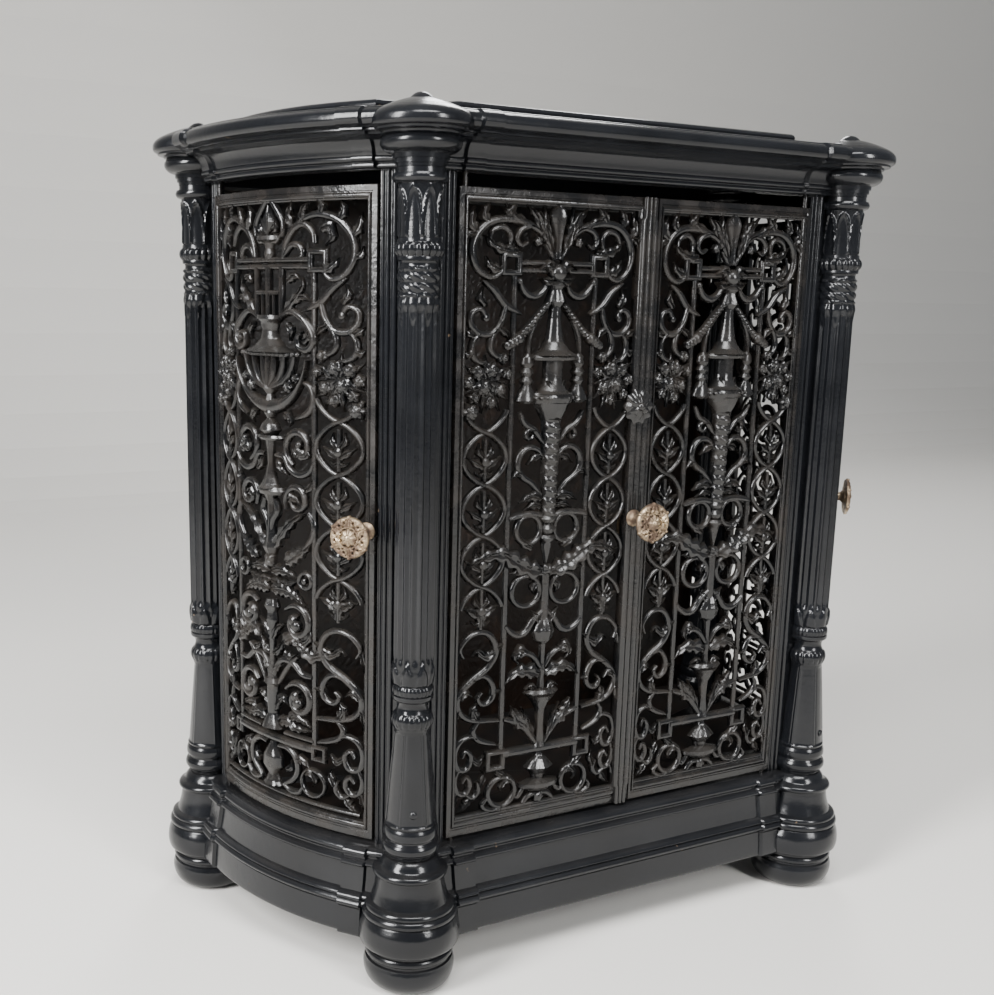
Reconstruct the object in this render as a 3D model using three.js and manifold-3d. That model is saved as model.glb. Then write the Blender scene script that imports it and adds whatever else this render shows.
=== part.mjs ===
// Cast iron cabinet with a straight front, two bowed sides, openwork doors and four columns.
// Millimetres, +Z up, front towards -Y, origin on the floor below the middle of the object.

import * as THREE from 'three';
import { mergeVertices } from 'three/addons/utils/BufferGeometryUtils.js';
import Module from 'manifold-3d';

const wasm = await Module();
wasm.setup();

// Plan, taken at the column axes
const FRONT_SPACING = 560;
const BACK_SPACING = 788;
const AXIS_DEPTH = 322;
const SIDE_SWEEP = THREE.MathUtils.degToRad( 54 );
const BACK_BEYOND_AXIS = 30;
const DRUM_RADIUS = 55;

// Heights above the floor
const PLINTH_BOTTOM = 48;
const SILL = 146;
const DOOR_BOTTOM = 150;
const DOOR_TOP = 836;
const CORNICE_BOTTOM = 849;
const CORNICE_TOP = 905;
const PANEL_TOP = 919;
const KNOB_HEIGHT = 491;
const ROSETTE_HEIGHT = 615;
const LATTICE_BARS = [ 232, 764 ];

// Clearances
const SEAT_GAP = 0.3;
const DOOR_GAP = 1.5;
const MEETING_GAP = 0.6;
const PIN_PLAY = 0.5;

// Walls, posts and doors, as distances out (+) or in (-) from the line of the column axes
const WALL = 8;
const DOOR_FACE = - 5;
const DOOR_THICK = 8;
const WING_FACE = - 9;
const WING_REACH = 44.5;
const PANEL_INSET = 25;
const PANEL_CORNER = 62;

// Door castings
const STILE = 12;
const RAIL = 15;
const BAR = 5;
const OPEN_FACE = - 1.5;
const OPEN_BACK = - 5.5;
const STANDARD_FACE = 1.5;
const BAR_SPACING = 116;
const SIDE_BAR_SPACING = 126;
const STRIP_WIDTH = 26;
const STRIP_RISE = 5;
const HINGE_INSET = 8;
const PIN_RADIUS = 3;
const PIN_REACH = 8;
const STEM_RADIUS = 5;
const KNOB_REACH = 44;
const KNOB_RADIUS = 22.5;
const KNOB_INSET = 9;

// Facets round a full turn, and steps along each bowed side
const ROUND_SIDES = 12;
const BACK_SIDES = 8;
const COLUMN_SIDES = 8;
const ARC_STEPS = 6;
const FLUTES = 8;
const LEAF_STEPS = 3;
const PIN_SIDES = 6;

const FRONT_Y = ( DRUM_RADIUS - AXIS_DEPTH - BACK_BEYOND_AXIS ) / 2;
const BACK_Y = FRONT_Y + AXIS_DEPTH;
const BACK_PLANE = BACK_Y + BACK_BEYOND_AXIS;
const PLATE_FACE = BACK_PLANE - 9;
const SIDES = { left: - 1, right: 1 };

// The left side bows out on one arc between the two left column axes
const frontAxis = new THREE.Vector2( - FRONT_SPACING / 2, FRONT_Y );
const backAxis = new THREE.Vector2( - BACK_SPACING / 2, BACK_Y );
const forward = frontAxis.clone().sub( backAxis ).normalize();
const outward = new THREE.Vector2( forward.y, - forward.x );
const SIDE_RADIUS = frontAxis.distanceTo( backAxis ) / ( 2 * Math.sin( SIDE_SWEEP / 2 ) );
const sideCentre = frontAxis.clone().add( backAxis ).multiplyScalar( 0.5 )
	.addScaledVector( outward, - SIDE_RADIUS * Math.cos( SIDE_SWEEP / 2 ) );

// A point of the left side: the angle grows from the back column to the front one
function sidePoint( angle, offset ) {

	return sideCentre.clone()
		.addScaledVector( outward, Math.cos( angle ) * ( SIDE_RADIUS + offset ) )
		.addScaledVector( forward, Math.sin( angle ) * ( SIDE_RADIUS + offset ) );

}

// Angle at which the left arc of an offset crosses the line y = level
function sideAngle( level, offset ) {

	const rise = level - sideCentre.y;
	const across = - Math.sqrt( ( SIDE_RADIUS + offset ) ** 2 - rise ** 2 );
	const point = new THREE.Vector2( across, rise );
	return Math.atan2( point.dot( forward ), point.dot( outward ) );

}

// Closed plan outline at one offset, from the back left corner round the front, anticlockwise
function planOutline( offset, backLine = BACK_PLANE ) {

	const start = sideAngle( backLine, offset );
	const end = sideAngle( FRONT_Y - offset, offset );
	const left = [];
	for ( let i = 0; i <= ARC_STEPS; i ++ ) {

		left.push( sidePoint( THREE.MathUtils.lerp( start, end, i / ARC_STEPS ), offset ) );

	}

	const right = left.map( ( p ) => new THREE.Vector2( - p.x, p.y ) ).reverse();
	return [ ...left, ...right ];

}

// Manifold solid of a closed three.js geometry
function solid( geometry ) {

	const bare = geometry.clone();
	bare.deleteAttribute( 'normal' );
	bare.deleteAttribute( 'uv' );
	const merged = mergeVertices( bare, 1e-4 );
	return new wasm.Manifold( new wasm.Mesh( {
		numProp: 3,
		vertProperties: new Float32Array( merged.attributes.position.array ),
		triVerts: new Uint32Array( merged.index.array ),
	} ) );

}

function geometryOf( manifold ) {

	const mesh = manifold.getMesh();
	const geometry = new THREE.BufferGeometry();
	geometry.setAttribute( 'position', new THREE.BufferAttribute( mesh.vertProperties, 3 ) );
	geometry.setIndex( new THREE.BufferAttribute( mesh.triVerts, 1 ) );
	geometry.computeVertexNormals();
	return geometry;

}

function join( solids ) {

	return solids.reduce( ( whole, next ) => whole.add( next ) );

}

function cut( from, tools ) {

	return tools.reduce( ( rest, tool ) => rest.subtract( tool ), from );

}

// Solid between plan outlines: each level is [ offset, height ], from the bottom up
function planLoft( levels, backLine ) {

	const rings = levels.map( ( [ offset, height ] ) =>
		planOutline( offset, backLine ).map( ( p ) => [ p.x, p.y, height ] ) );
	const count = rings[ 0 ].length;
	const index = [];
	for ( let level = 0; level < rings.length - 1; level ++ ) {

		for ( let i = 0; i < count; i ++ ) {

			const a = level * count + i;
			const b = level * count + ( i + 1 ) % count;
			index.push( a, b, b + count, a, b + count, a + count );

		}

	}

	const top = ( rings.length - 1 ) * count;
	const flat = rings[ 0 ].map( ( p ) => new THREE.Vector2( p[ 0 ], p[ 1 ] ) );
	for ( const [ a, b, c ] of THREE.ShapeUtils.triangulateShape( flat, [] ) ) {

		index.push( a, c, b, top + a, top + b, top + c );

	}

	const geometry = new THREE.BufferGeometry();
	geometry.setAttribute( 'position', new THREE.Float32BufferAttribute( rings.flat( 2 ), 3 ) );
	geometry.setIndex( index );
	return solid( geometry );

}

// Turned solid about the vertical line through ( x, y ): the profile is [ radius, height ] pairs
function turned( profile, x = 0, y = 0, sides = ROUND_SIDES ) {

	const points = profile.map( ( [ radius, height ] ) => new THREE.Vector2( radius, height ) );
	const geometry = new THREE.LatheGeometry( points, sides );
	geometry.rotateX( Math.PI / 2 );
	geometry.translate( x, y, 0 );
	return solid( geometry );

}

function block( x0, x1, y0, y1, z0, z1 ) {

	const geometry = new THREE.BoxGeometry( x1 - x0, y1 - y0, z1 - z0 );
	geometry.translate( ( x0 + x1 ) / 2, ( y0 + y1 ) / 2, ( z0 + z1 ) / 2 );
	return solid( geometry );

}

// Flat outline with holes in the XY plane, raised along Z from z0 to z1
function plate( outline, holes, z0, z1 ) {

	const shape = new THREE.Shape( outline );
	shape.holes = holes.map( ( hole ) => new THREE.Path( hole ) );
	const geometry = new THREE.ExtrudeGeometry( shape, { depth: z1 - z0, bevelEnabled: false, steps: 1 } );
	geometry.translate( 0, 0, z0 );
	return solid( geometry );

}

function disc( x, y, radius, sides, stretch = 1, turn = 0 ) {

	return Array.from( { length: sides }, ( _, i ) => {

		const angle = turn + 2 * Math.PI * i / sides;
		return new THREE.Vector2( x + radius * Math.cos( angle ), y + stretch * radius * Math.sin( angle ) );

	} );

}

function columnPlaces() {

	return Object.entries( SIDES ).flatMap( ( [ side, sign ] ) => [
		{ name: `front_${ side }`, sign, x: sign * FRONT_SPACING / 2, y: FRONT_Y, front: true, sides: ROUND_SIDES },
		{ name: `back_${ side }`, sign, x: sign * BACK_SPACING / 2, y: BACK_Y, front: false, sides: BACK_SIDES },
	] );

}

// Finishes
const enamel = () => new THREE.MeshStandardMaterial( { color: 0x17181b, roughness: 0.22, metalness: 0.1 } );
const rust = () => new THREE.MeshStandardMaterial( { color: 0x3a2318, roughness: 0.85, metalness: 0.1 } );
const gilt = () => new THREE.MeshStandardMaterial( { color: 0x8f7350, roughness: 0.4, metalness: 0.85 } );

function node( name, manifold, material ) {

	const mesh = new THREE.Mesh( geometryOf( manifold ), material );
	mesh.name = name;
	return mesh;

}

// Hinge pins and knob stems stand in the leaf of each door
const leafDepth = DOOR_FACE - DOOR_THICK / 2;
const wingAngle = WING_REACH / SIDE_RADIUS;
const doorAngle = ( WING_REACH + DOOR_GAP ) / SIDE_RADIUS;
const sideDoorEnd = SIDE_SWEEP / 2 - doorAngle;
const hingeAngle = - sideDoorEnd + HINGE_INSET / ( SIDE_RADIUS + DOOR_FACE );
const knobAngle = sideDoorEnd - KNOB_INSET / ( SIDE_RADIUS + DOOR_FACE );

function hingePlaces() {

	const places = [];
	for ( const [ side, sign ] of Object.entries( SIDES ) ) {

		const back = sidePoint( hingeAngle, leafDepth );
		places.push( { name: `${ side }_side`, x: - sign * back.x, y: back.y } );
		const reach = FRONT_SPACING / 2 - WING_REACH - DOOR_GAP - HINGE_INSET;
		places.push( { name: `front_${ side }`, x: sign * reach, y: FRONT_Y - leafDepth } );

	}

	return places;

}

function pinHoles( z0, z1 ) {

	const radius = PIN_RADIUS + PIN_PLAY;
	return hingePlaces().map( ( { x, y } ) => turned( [ [ 0, z0 ], [ radius, z0 ], [ radius, z1 ], [ 0, z1 ] ], x, y, PIN_SIDES ) );

}

// Hollow base with a floor, a round pedestal under each column and mouldings that run round all of it
const BASE_LEVELS = [
	[ 19, PLINTH_BOTTOM ], [ 17, 81 ], [ 22, 86 ], [ 20, 94 ], [ 11, 98 ],
	[ 7, 127 ], [ 11, 132 ], [ - 4, SILL ],
];
const BASE_CAVITY = [ [ 9, PLINTH_BOTTOM - 1 ], [ 9, 80 ], [ 1, 98 ], [ - 2, SILL - WALL ] ];
const DRUM_PROFILE = [
	[ 0, PLINTH_BOTTOM ], [ 52, PLINTH_BOTTOM ], [ DRUM_RADIUS, 59 ], [ 48, 81 ], [ 50, 86 ], [ 46, 94 ],
	[ 41, 98 ], [ 36, 127 ], [ 38.5, 133 ], [ 27, SILL ], [ 0, SILL ],
];
const DRUM_CAVITY = [ [ 0, PLINTH_BOTTOM + WALL ], [ 44, PLINTH_BOTTOM + WALL ], [ 34, 90 ], [ 27, SILL - WALL ], [ 0, SILL - WALL ] ];

function base() {

	const drums = columnPlaces().map( ( { x, y, sides } ) => turned( DRUM_PROFILE, x, y, sides ) );
	const cavities = columnPlaces().map( ( { x, y } ) => turned( DRUM_CAVITY, x, y, 8 ) );
	const beyond = block( - BACK_SPACING, BACK_SPACING, BACK_PLANE, BACK_PLANE + DRUM_RADIUS, 0, SILL + WALL );
	const behind = block( - BACK_SPACING, BACK_SPACING, BACK_PLANE - WALL, BACK_PLANE, 0, SILL + WALL );
	const hollow = cut( join( [ planLoft( BASE_CAVITY, BACK_PLANE - WALL ), ...cavities ] ), [ behind, beyond ] );
	return cut( join( [ planLoft( BASE_LEVELS ), ...drums ] ), [ beyond, hollow, ...pinHoles( SILL - 2 * WALL, SILL + 1 ) ] );

}

// Bun foot under each pedestal
const FOOT_PROFILE = [
	[ 0, 0 ], [ 36, 0 ], [ 47, 12 ], [ 49, 24 ], [ 44, 33 ], [ 47, 40 ], [ 46, PLINTH_BOTTOM - SEAT_GAP ],
	[ 0, PLINTH_BOTTOM - SEAT_GAP ],
];

function foot( front ) {

	const bun = turned( FOOT_PROFILE, 0, 0, front ? ROUND_SIDES : BACK_SIDES );
	const beyond = block( - DRUM_RADIUS, DRUM_RADIUS, BACK_BEYOND_AXIS, DRUM_RADIUS, - 1, SILL );
	return front ? bun : cut( bun, [ beyond ] );

}

// Column with its two wings, which close the gap to the doors
const LOWER_TURNING = [
	[ 0, SILL + SEAT_GAP ], [ 26, SILL + SEAT_GAP ], [ 31, 161 ], [ 28, 178 ], [ 28, 190 ], [ 19, 291 ],
	[ 22.5, 302 ], [ 16.5, 318 ], [ 22.5, 336 ], [ 20, 346 ], [ 22, 364 ], [ 19, 374 ], [ 0, 374 ],
];
const UPPER_TURNING = [
	[ 0, 720 ], [ 19, 720 ], [ 22, 738 ], [ 20.5, 762 ], [ 23, 774 ], [ 20, 786 ],
	[ 20.5, 836 ], [ 24, CORNICE_BOTTOM - SEAT_GAP ], [ 0, CORNICE_BOTTOM - SEAT_GAP ],
];
const SHAFT_RADIUS = 21;
const FLUTE_DEPTH = 2.6;
const SHAFT_ENDS = [ 372, 722 ];

function fluted( z0, z1 ) {

	const outline = Array.from( { length: 2 * FLUTES }, ( _, i ) => {

		const angle = Math.PI * i / FLUTES;
		const radius = SHAFT_RADIUS - ( i % 2 ) * FLUTE_DEPTH;
		return new THREE.Vector2( radius * Math.cos( angle ), radius * Math.sin( angle ) );

	} );
	return plate( outline, [], z0, z1 );

}

function wing( points ) {

	return plate( points, [], SILL + SEAT_GAP, CORNICE_BOTTOM - SEAT_GAP );

}

// Wing along the left side, from the column axis towards the door, about that axis
function sideWing( front ) {

	const axisAngle = front ? SIDE_SWEEP / 2 : - SIDE_SWEEP / 2;
	const towards = front ? - 1 : 1;
	const axis = front ? frontAxis : backAxis;
	const at = ( share, offset ) => sidePoint( axisAngle + towards * share * wingAngle, offset ).sub( axis );
	const face = [ 0, 0.5, 1 ].map( ( share ) => at( share, WING_FACE ) );
	const rear = [ 1, 0.5, 0 ].map( ( share ) => at( share, WING_FACE - WALL ) );
	return wing( [ ...face, ...rear ] );

}

function frontWing() {

	const back = - WING_FACE + WALL;
	return wing( [
		new THREE.Vector2( 0, - WING_FACE ), new THREE.Vector2( WING_REACH, - WING_FACE ),
		new THREE.Vector2( WING_REACH, back ), new THREE.Vector2( 0, back ),
	] );

}

// Left-hand column about its own axis; the right-hand ones are its mirror image
function column( front ) {

	const pieces = [
		turned( LOWER_TURNING, 0, 0, COLUMN_SIDES ), fluted( ...SHAFT_ENDS ),
		turned( UPPER_TURNING, 0, 0, COLUMN_SIDES ), sideWing( front ),
	];
	if ( front ) return join( [ ...pieces, frontWing() ] );
	const beyond = block( - DRUM_RADIUS, DRUM_RADIUS, PLATE_FACE - BACK_Y - SEAT_GAP, DRUM_RADIUS, 0, CORNICE_TOP );
	return cut( join( pieces ), [ beyond ] );

}

// Mirror image across the plane x = 0
function mirrored( manifold ) {

	const geometry = geometryOf( manifold );
	geometry.scale( - 1, 1, 1 );
	const index = geometry.index.array;
	for ( let i = 0; i < index.length; i += 3 ) {

		[ index[ i ], index[ i + 1 ] ] = [ index[ i + 1 ], index[ i ] ];

	}

	return solid( geometry );

}

// Cornice frame: fillets, a deep cove and a rounded lip, with a low dome over each column
const CORNICE_LEVELS = [
	[ - 4, CORNICE_BOTTOM ], [ 0, 852 ], [ 5, 858 ], [ 12, 873 ], [ 27, 880 ],
	[ 36, 887 ], [ 37, 895 ], [ 28, 901 ], [ - 10, CORNICE_TOP ],
];
const CORNICE_CAVITY = [ [ - 16, CORNICE_BOTTOM - 1 ], [ - 16, 866 ], [ 12, 887 ], [ 12, 893 ], [ - 20, CORNICE_TOP - WALL ] ];
const CORNICE_MOUTH = [ [ - 60, CORNICE_TOP - 2 * WALL ], [ - 60, CORNICE_TOP + 1 ] ];
const DOME_PROFILE = [
	[ 0, CORNICE_BOTTOM ], [ 24, CORNICE_BOTTOM ], [ 25, 858 ], [ 38, 876 ], [ 48, 881 ], [ 52, 887 ],
	[ 51, 893 ], [ 36, 903 ], [ 10, 909 ], [ 8, 916 ], [ 0, 918 ],
];

function cornice() {

	const domes = columnPlaces().map( ( { x, y, sides } ) => turned( DOME_PROFILE, x, y, sides ) );
	const beyond = block( - BACK_SPACING, BACK_SPACING, BACK_PLANE, BACK_PLANE + DRUM_RADIUS, SILL, PANEL_TOP );
	const outer = join( [ planLoft( CORNICE_LEVELS ), ...domes ] );
	const inner = planLoft( CORNICE_CAVITY, BACK_PLANE - 2 * WALL );
	const mouth = planLoft( CORNICE_MOUTH, BACK_PLANE - 60 );
	return cut( outer, [ beyond, inner, mouth, ...pinHoles( CORNICE_BOTTOM - 1, CORNICE_BOTTOM + PIN_REACH + 1 ) ] );

}

// Raised cover over the mouth of the cornice, cut back in a curve round each dome
const COVER_LEVELS = [ [ - PANEL_INSET, CORNICE_TOP + SEAT_GAP ], [ - PANEL_INSET, 912 ], [ - PANEL_INSET - 5, PANEL_TOP ] ];

function cover() {

	const bottom = CORNICE_TOP + SEAT_GAP;
	const corners = columnPlaces().map( ( { x, y } ) => turned( [
		[ 0, bottom - 1 ], [ PANEL_CORNER, bottom - 1 ], [ PANEL_CORNER, 912 ], [ PANEL_CORNER + 5, PANEL_TOP + 0.01 ],
		[ 0, PANEL_TOP + 0.01 ],
	], x, y ) );
	return cut( planLoft( COVER_LEVELS, BACK_PLANE - 8 ), corners );

}

function backPlate() {

	const half = BACK_SPACING / 2 - 8;
	return block( - half, half, PLATE_FACE, PLATE_FACE + 5, SILL + SEAT_GAP, CORNICE_BOTTOM - SEAT_GAP );

}

// Door leaves are drawn flat: u across from 0 to width, v up, w out of the face
// Torch, urn and stem down the middle of a leaf: half widths at heights above the leaf's bottom edge
const STANDARD = [
	[ 5, 12 ], [ 11, 42 ], [ 4, 62 ], [ 12, 150 ], [ 5, 165 ], [ 14, 235 ], [ 4, 262 ],
	[ 8, 470 ], [ 14, 478 ], [ 9, 500 ], [ 22, 520 ], [ 9, 600 ], [ 12, 674 ],
];
const LEAF_HEIGHT = DOOR_TOP - DOOR_BOTTOM;

function symmetric( u, halves ) {

	const right = halves.map( ( [ half, v ] ) => new THREE.Vector2( u + half, v ) );
	const left = halves.map( ( [ half, v ] ) => new THREE.Vector2( u - half, v ) ).reverse();
	return [ ...right, ...left ];

}

function rectangle( u0, u1, v0, v1 ) {

	return [ [ u0, v0 ], [ u1, v0 ], [ u1, v1 ], [ u0, v1 ] ].map( ( p ) => new THREE.Vector2( ...p ) );

}

function halfWidthAt( v ) {

	const next = STANDARD.findIndex( ( [ , height ] ) => height >= v );
	if ( next <= 0 ) return STANDARD[ next < 0 ? STANDARD.length - 1 : 0 ][ 0 ];
	const [ [ w0, v0 ], [ w1, v1 ] ] = [ STANDARD[ next - 1 ], STANDARD[ next ] ];
	return THREE.MathUtils.mapLinear( v, v0, v1, w0, w1 );

}

// Openings of the lane between a stile and a bar: round ones, then the long links of the chain, then round ones
const ROUND_LINKS = [ 48, 128, 200, 560, 640 ];
const CHAIN_LINKS = [ 285, 345, 405, 465 ];

function laneHoles( lane, half ) {

	const rounds = ROUND_LINKS.map( ( v ) => disc( lane, v, half, 4, 30 / half ) );
	const links = CHAIN_LINKS.map( ( v ) => disc( lane, v, half, 6, 27 / half, Math.PI / 2 ) );
	return [ ...rounds, ...links ];

}

// Openings between the torch and a bar, whose upper and lower edges rise outwards like branches
const BAYS = [
	[ 20, 74 ], [ 88, 150 ], [ 164, 226 ], [ 240, 320 ], [ 334, 392 ], [ 406, 462 ], [ 476, 530 ], [ 544, 600 ], [ 622, 664 ],
];
const BRANCH_RISE = 6;

function bayHoles( middle, hand, reach ) {

	return BAYS.map( ( [ v0, v1 ], i ) => {

		const rise = i > 0 && i < BAYS.length - 1 ? BRANCH_RISE : 0;
		const centre = ( v0 + v1 ) / 2;
		const [ low, mid, high ] = [ v0, centre, v1 ].map( ( v ) => halfWidthAt( v ) + 2 );
		const near = [ [ high, v1 ], [ mid + 1, centre ], [ low, v0 ] ];
		const far = [ [ reach, v0 + rise ], [ reach, v1 + rise ] ];
		const corners = [ ...near, ...far ].map( ( [ across, v ] ) => new THREE.Vector2( middle + hand * across, v ) );
		return hand > 0 ? corners : corners.reverse();

	} );

}

// Leaf between the stiles at u = start and u = end: frame, openwork, lattice studs and the raised torch
function openwork( width, start, end, barSpacing ) {

	const middle = ( start + end ) / 2;
	const window = rectangle( start, end, RAIL, LEAF_HEIGHT - RAIL );
	const frame = plate( rectangle( 0, width, 0, LEAF_HEIGHT ), [ window ], - DOOR_THICK, 0 );
	const holes = [];
	for ( const hand of [ - 1, 1 ] ) {

		const edge = hand < 0 ? start : end;
		const bar = middle + hand * barSpacing / 2;
		const lane = ( edge + bar + hand * BAR / 2 ) / 2;
		holes.push( ...laneHoles( lane, Math.abs( edge - lane ) - BAR / 2 ) );
		holes.push( ...bayHoles( middle, hand, ( barSpacing - BAR ) / 2 ) );

	}

	const web = block( start - 1, end + 1, RAIL - 1, LEAF_HEIGHT - RAIL + 1, OPEN_BACK, OPEN_FACE );
	const pierced = cut( web, holes.map( ( hole ) => plate( hole, [], OPEN_BACK - 1, OPEN_FACE + 1 ) ) );
	const torch = plate( symmetric( middle, STANDARD ), [], ( OPEN_BACK + OPEN_FACE ) / 2, STANDARD_FACE );
	const studs = LATTICE_BARS.flatMap( ( height ) => [ - 1, 1 ].map( ( hand ) => {

		const u = middle + hand * barSpacing / 2;
		const v = height - DOOR_BOTTOM;
		return block( u - 7, u + 7, v - 7, v + 7, ( OPEN_BACK + OPEN_FACE ) / 2, 0 );

	} ) );
	return join( [ frame, pierced, torch, ...studs ] );

}

// Round pin along v through ( u, w )
function pin( u, w, v0, v1 ) {

	const geometry = geometryOf( turned( [ [ 0, v0 ], [ PIN_RADIUS, v0 ], [ PIN_RADIUS, v1 ], [ 0, v1 ] ], u, - w, PIN_SIDES ) );
	geometry.rotateX( - Math.PI / 2 );
	return solid( geometry );

}

function hung( leaf, hingeU, knobU ) {

	const topPin = pin( hingeU, - DOOR_THICK / 2, LEAF_HEIGHT - 2, CORNICE_BOTTOM + PIN_REACH - DOOR_BOTTOM );
	const footPin = pin( hingeU, - DOOR_THICK / 2, SILL - WALL - DOOR_BOTTOM, 2 );
	const whole = join( [ leaf, topPin, footPin ] );
	if ( knobU === null ) return whole;
	const bore = plate( disc( knobU, KNOB_HEIGHT - DOOR_BOTTOM, STEM_RADIUS + PIN_PLAY, 8 ), [], - 2 * DOOR_THICK, DOOR_THICK );
	return cut( whole, [ bore ] );

}

// The front leaves: the left one carries the strip that covers the joint
const frontEdge = FRONT_SPACING / 2 - WING_REACH - DOOR_GAP;
const MEETING_X = 12.3;
const FRONT_KNOB_X = - 5;
const THIN_STILE = 8;
const ROSETTE_U = frontEdge - 5;

function frontDoor( side ) {

	if ( side === 'right' ) {

		const width = frontEdge - MEETING_X - MEETING_GAP;
		return hung( openwork( width, THIN_STILE, width - STILE, BAR_SPACING ), width - HINGE_INSET, null );

	}

	const width = frontEdge + MEETING_X;
	const stripStart = width - STRIP_WIDTH;
	const cover = block( stripStart, width, - 2, LEAF_HEIGHT + 4, - 3, STRIP_RISE );
	const boss = plate( disc( ROSETTE_U, ROSETTE_HEIGHT - DOOR_BOTTOM, 17, 8 ), [], 0, 12 );
	const leaf = join( [ openwork( width, STILE, stripStart + 1, BAR_SPACING ), cover, boss ] );
	return hung( leaf, HINGE_INSET, frontEdge + FRONT_KNOB_X );

}

// Side leaf, wrapped from flat onto the bowed side
const FACE_RADIUS = SIDE_RADIUS + DOOR_FACE;
const SIDE_WIDTH = 2 * sideDoorEnd * FACE_RADIUS;

function sideDoor( side ) {

	const left = side === 'left';
	const knobU = left ? SIDE_WIDTH - KNOB_INSET : KNOB_INSET;
	const hingeU = left ? HINGE_INSET : SIDE_WIDTH - HINGE_INSET;
	const flat = hung( openwork( SIDE_WIDTH, STILE, SIDE_WIDTH - STILE, SIDE_BAR_SPACING ), hingeU, knobU );
	const geometry = sliced( geometryOf( flat ), SIDE_WIDTH, LEAF_STEPS );
	const position = geometry.attributes.position;
	for ( let i = 0; i < position.count; i ++ ) {

		const u = left ? position.getX( i ) : SIDE_WIDTH - position.getX( i );
		const point = sidePoint( u / FACE_RADIUS - sideDoorEnd, DOOR_FACE + position.getZ( i ) );
		position.setXYZ( i, left ? point.x : - point.x, point.y, DOOR_BOTTOM + position.getY( i ) );

	}

	return solid( geometry );

}

// Splits every triangle that crosses one of the upright planes, so the leaf can bend there
function sliced( geometry, width, steps ) {

	const source = geometry.attributes.position;
	const points = Array.from( { length: source.count }, ( _, i ) => [ source.getX( i ), source.getY( i ), source.getZ( i ) ] );
	let faces = [];
	for ( let i = 0; i < geometry.index.count; i += 3 ) {

		faces.push( [ 0, 1, 2 ].map( ( k ) => geometry.index.getX( i + k ) ) );

	}

	for ( let step = 1; step < steps; step ++ ) {

		faces = splitAt( points, faces, width * step / steps );

	}

	const result = new THREE.BufferGeometry();
	result.setAttribute( 'position', new THREE.Float32BufferAttribute( points.flat(), 3 ) );
	result.setIndex( faces.flat() );
	return result;

}

function splitAt( points, faces, plane ) {

	const NEAR = 1e-3;
	const sideOf = ( i ) => ( Math.abs( points[ i ][ 0 ] - plane ) < NEAR ? 0 : Math.sign( points[ i ][ 0 ] - plane ) );
	const made = new Map();
	const crossing = ( i, j ) => {

		const key = i < j ? `${ i } ${ j }` : `${ j } ${ i }`;
		if ( ! made.has( key ) ) {

			const [ a, b ] = i < j ? [ points[ i ], points[ j ] ] : [ points[ j ], points[ i ] ];
			const share = ( plane - a[ 0 ] ) / ( b[ 0 ] - a[ 0 ] );
			made.set( key, points.length );
			points.push( a.map( ( value, k ) => THREE.MathUtils.lerp( value, b[ k ], share ) ) );

		}

		return made.get( key );

	};

	return faces.flatMap( ( face ) => splitFace( face, sideOf, crossing ) );

}

// One triangle gives itself, two pieces through a corner on the plane, or three pieces
function splitFace( face, sideOf, crossing ) {

	const signs = face.map( sideOf );
	if ( ! ( signs.includes( 1 ) && signs.includes( - 1 ) ) ) return [ face ];
	const onPlane = signs.indexOf( 0 );
	if ( onPlane >= 0 ) {

		const [ a, b, c ] = [ 0, 1, 2 ].map( ( k ) => face[ ( onPlane + k ) % 3 ] );
		const m = crossing( b, c );
		return [ [ a, b, m ], [ a, m, c ] ];

	}

	const lone = signs.findIndex( ( sign ) => signs.filter( ( other ) => other === sign ).length === 1 );
	const [ a, b, c ] = [ 0, 1, 2 ].map( ( k ) => face[ ( lone + k ) % 3 ] );
	const m = crossing( a, b );
	const n = crossing( a, c );
	return [ [ a, m, n ], [ m, b, c ], [ m, c, n ] ];

}

// Pierced rosette on a round stem, with the catch that turns behind the next stile; z is out of the door
const TONGUE = { length: 22, half: 5, front: - 13.4, back: - 17 };

function knob( seat ) {

	const stem = turned( [
		[ 0, TONGUE.back ], [ STEM_RADIUS, TONGUE.back ], [ STEM_RADIUS, seat ], [ 9, seat ], [ 7, seat + 4 ],
		[ 5.5, seat + 8 ], [ 6, KNOB_REACH - 8 ], [ 0, KNOB_REACH - 8 ],
	], 0, 0, 8 );
	const petals = Array.from( { length: 12 }, ( _, i ) => {

		const angle = Math.PI * i / 6;
		const radius = KNOB_RADIUS - ( i % 2 ) * 4;
		return new THREE.Vector2( radius * Math.cos( angle ), radius * Math.sin( angle ) );

	} );
	const rosette = plate( petals, [], KNOB_REACH - 9, KNOB_REACH - 2 );
	const boss = turned( [ [ 0, KNOB_REACH - 5 ], [ 8, KNOB_REACH - 5 ], [ 5, KNOB_REACH + 2 ], [ 0, KNOB_REACH + 3 ] ], 0, 0, 8 );
	const tongue = block( - TONGUE.half, TONGUE.half, - TONGUE.length, TONGUE.half, TONGUE.back, TONGUE.front );
	return join( [ stem, rosette, boss, tongue ] );

}

const up = new THREE.Vector3( 0, 0, 1 );

// Turns a mesh so that its z points out of the side and its y points up
function faceOut( mesh, out ) {

	const across = new THREE.Vector3().crossVectors( up, out );
	mesh.quaternion.setFromRotationMatrix( new THREE.Matrix4().makeBasis( across, up, out ) );

}

const group = new THREE.Group();
group.add( node( 'base', base(), enamel() ) );
group.add( node( 'cornice', cornice(), enamel() ) );
group.add( node( 'cover_plate', cover(), enamel() ) );
group.add( node( 'back_plate', backPlate(), rust() ) );
for ( const { name, sign, x, y, front } of columnPlaces() ) {

	const bun = node( `foot_${ name }`, foot( front ), enamel() );
	bun.position.set( x, y, 0 );
	const post = sign < 0 ? column( front ) : mirrored( column( front ) );
	const shaft = node( `column_${ name }`, post, enamel() );
	shaft.position.set( x, y, 0 );
	group.add( bun, shaft );

}

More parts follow.
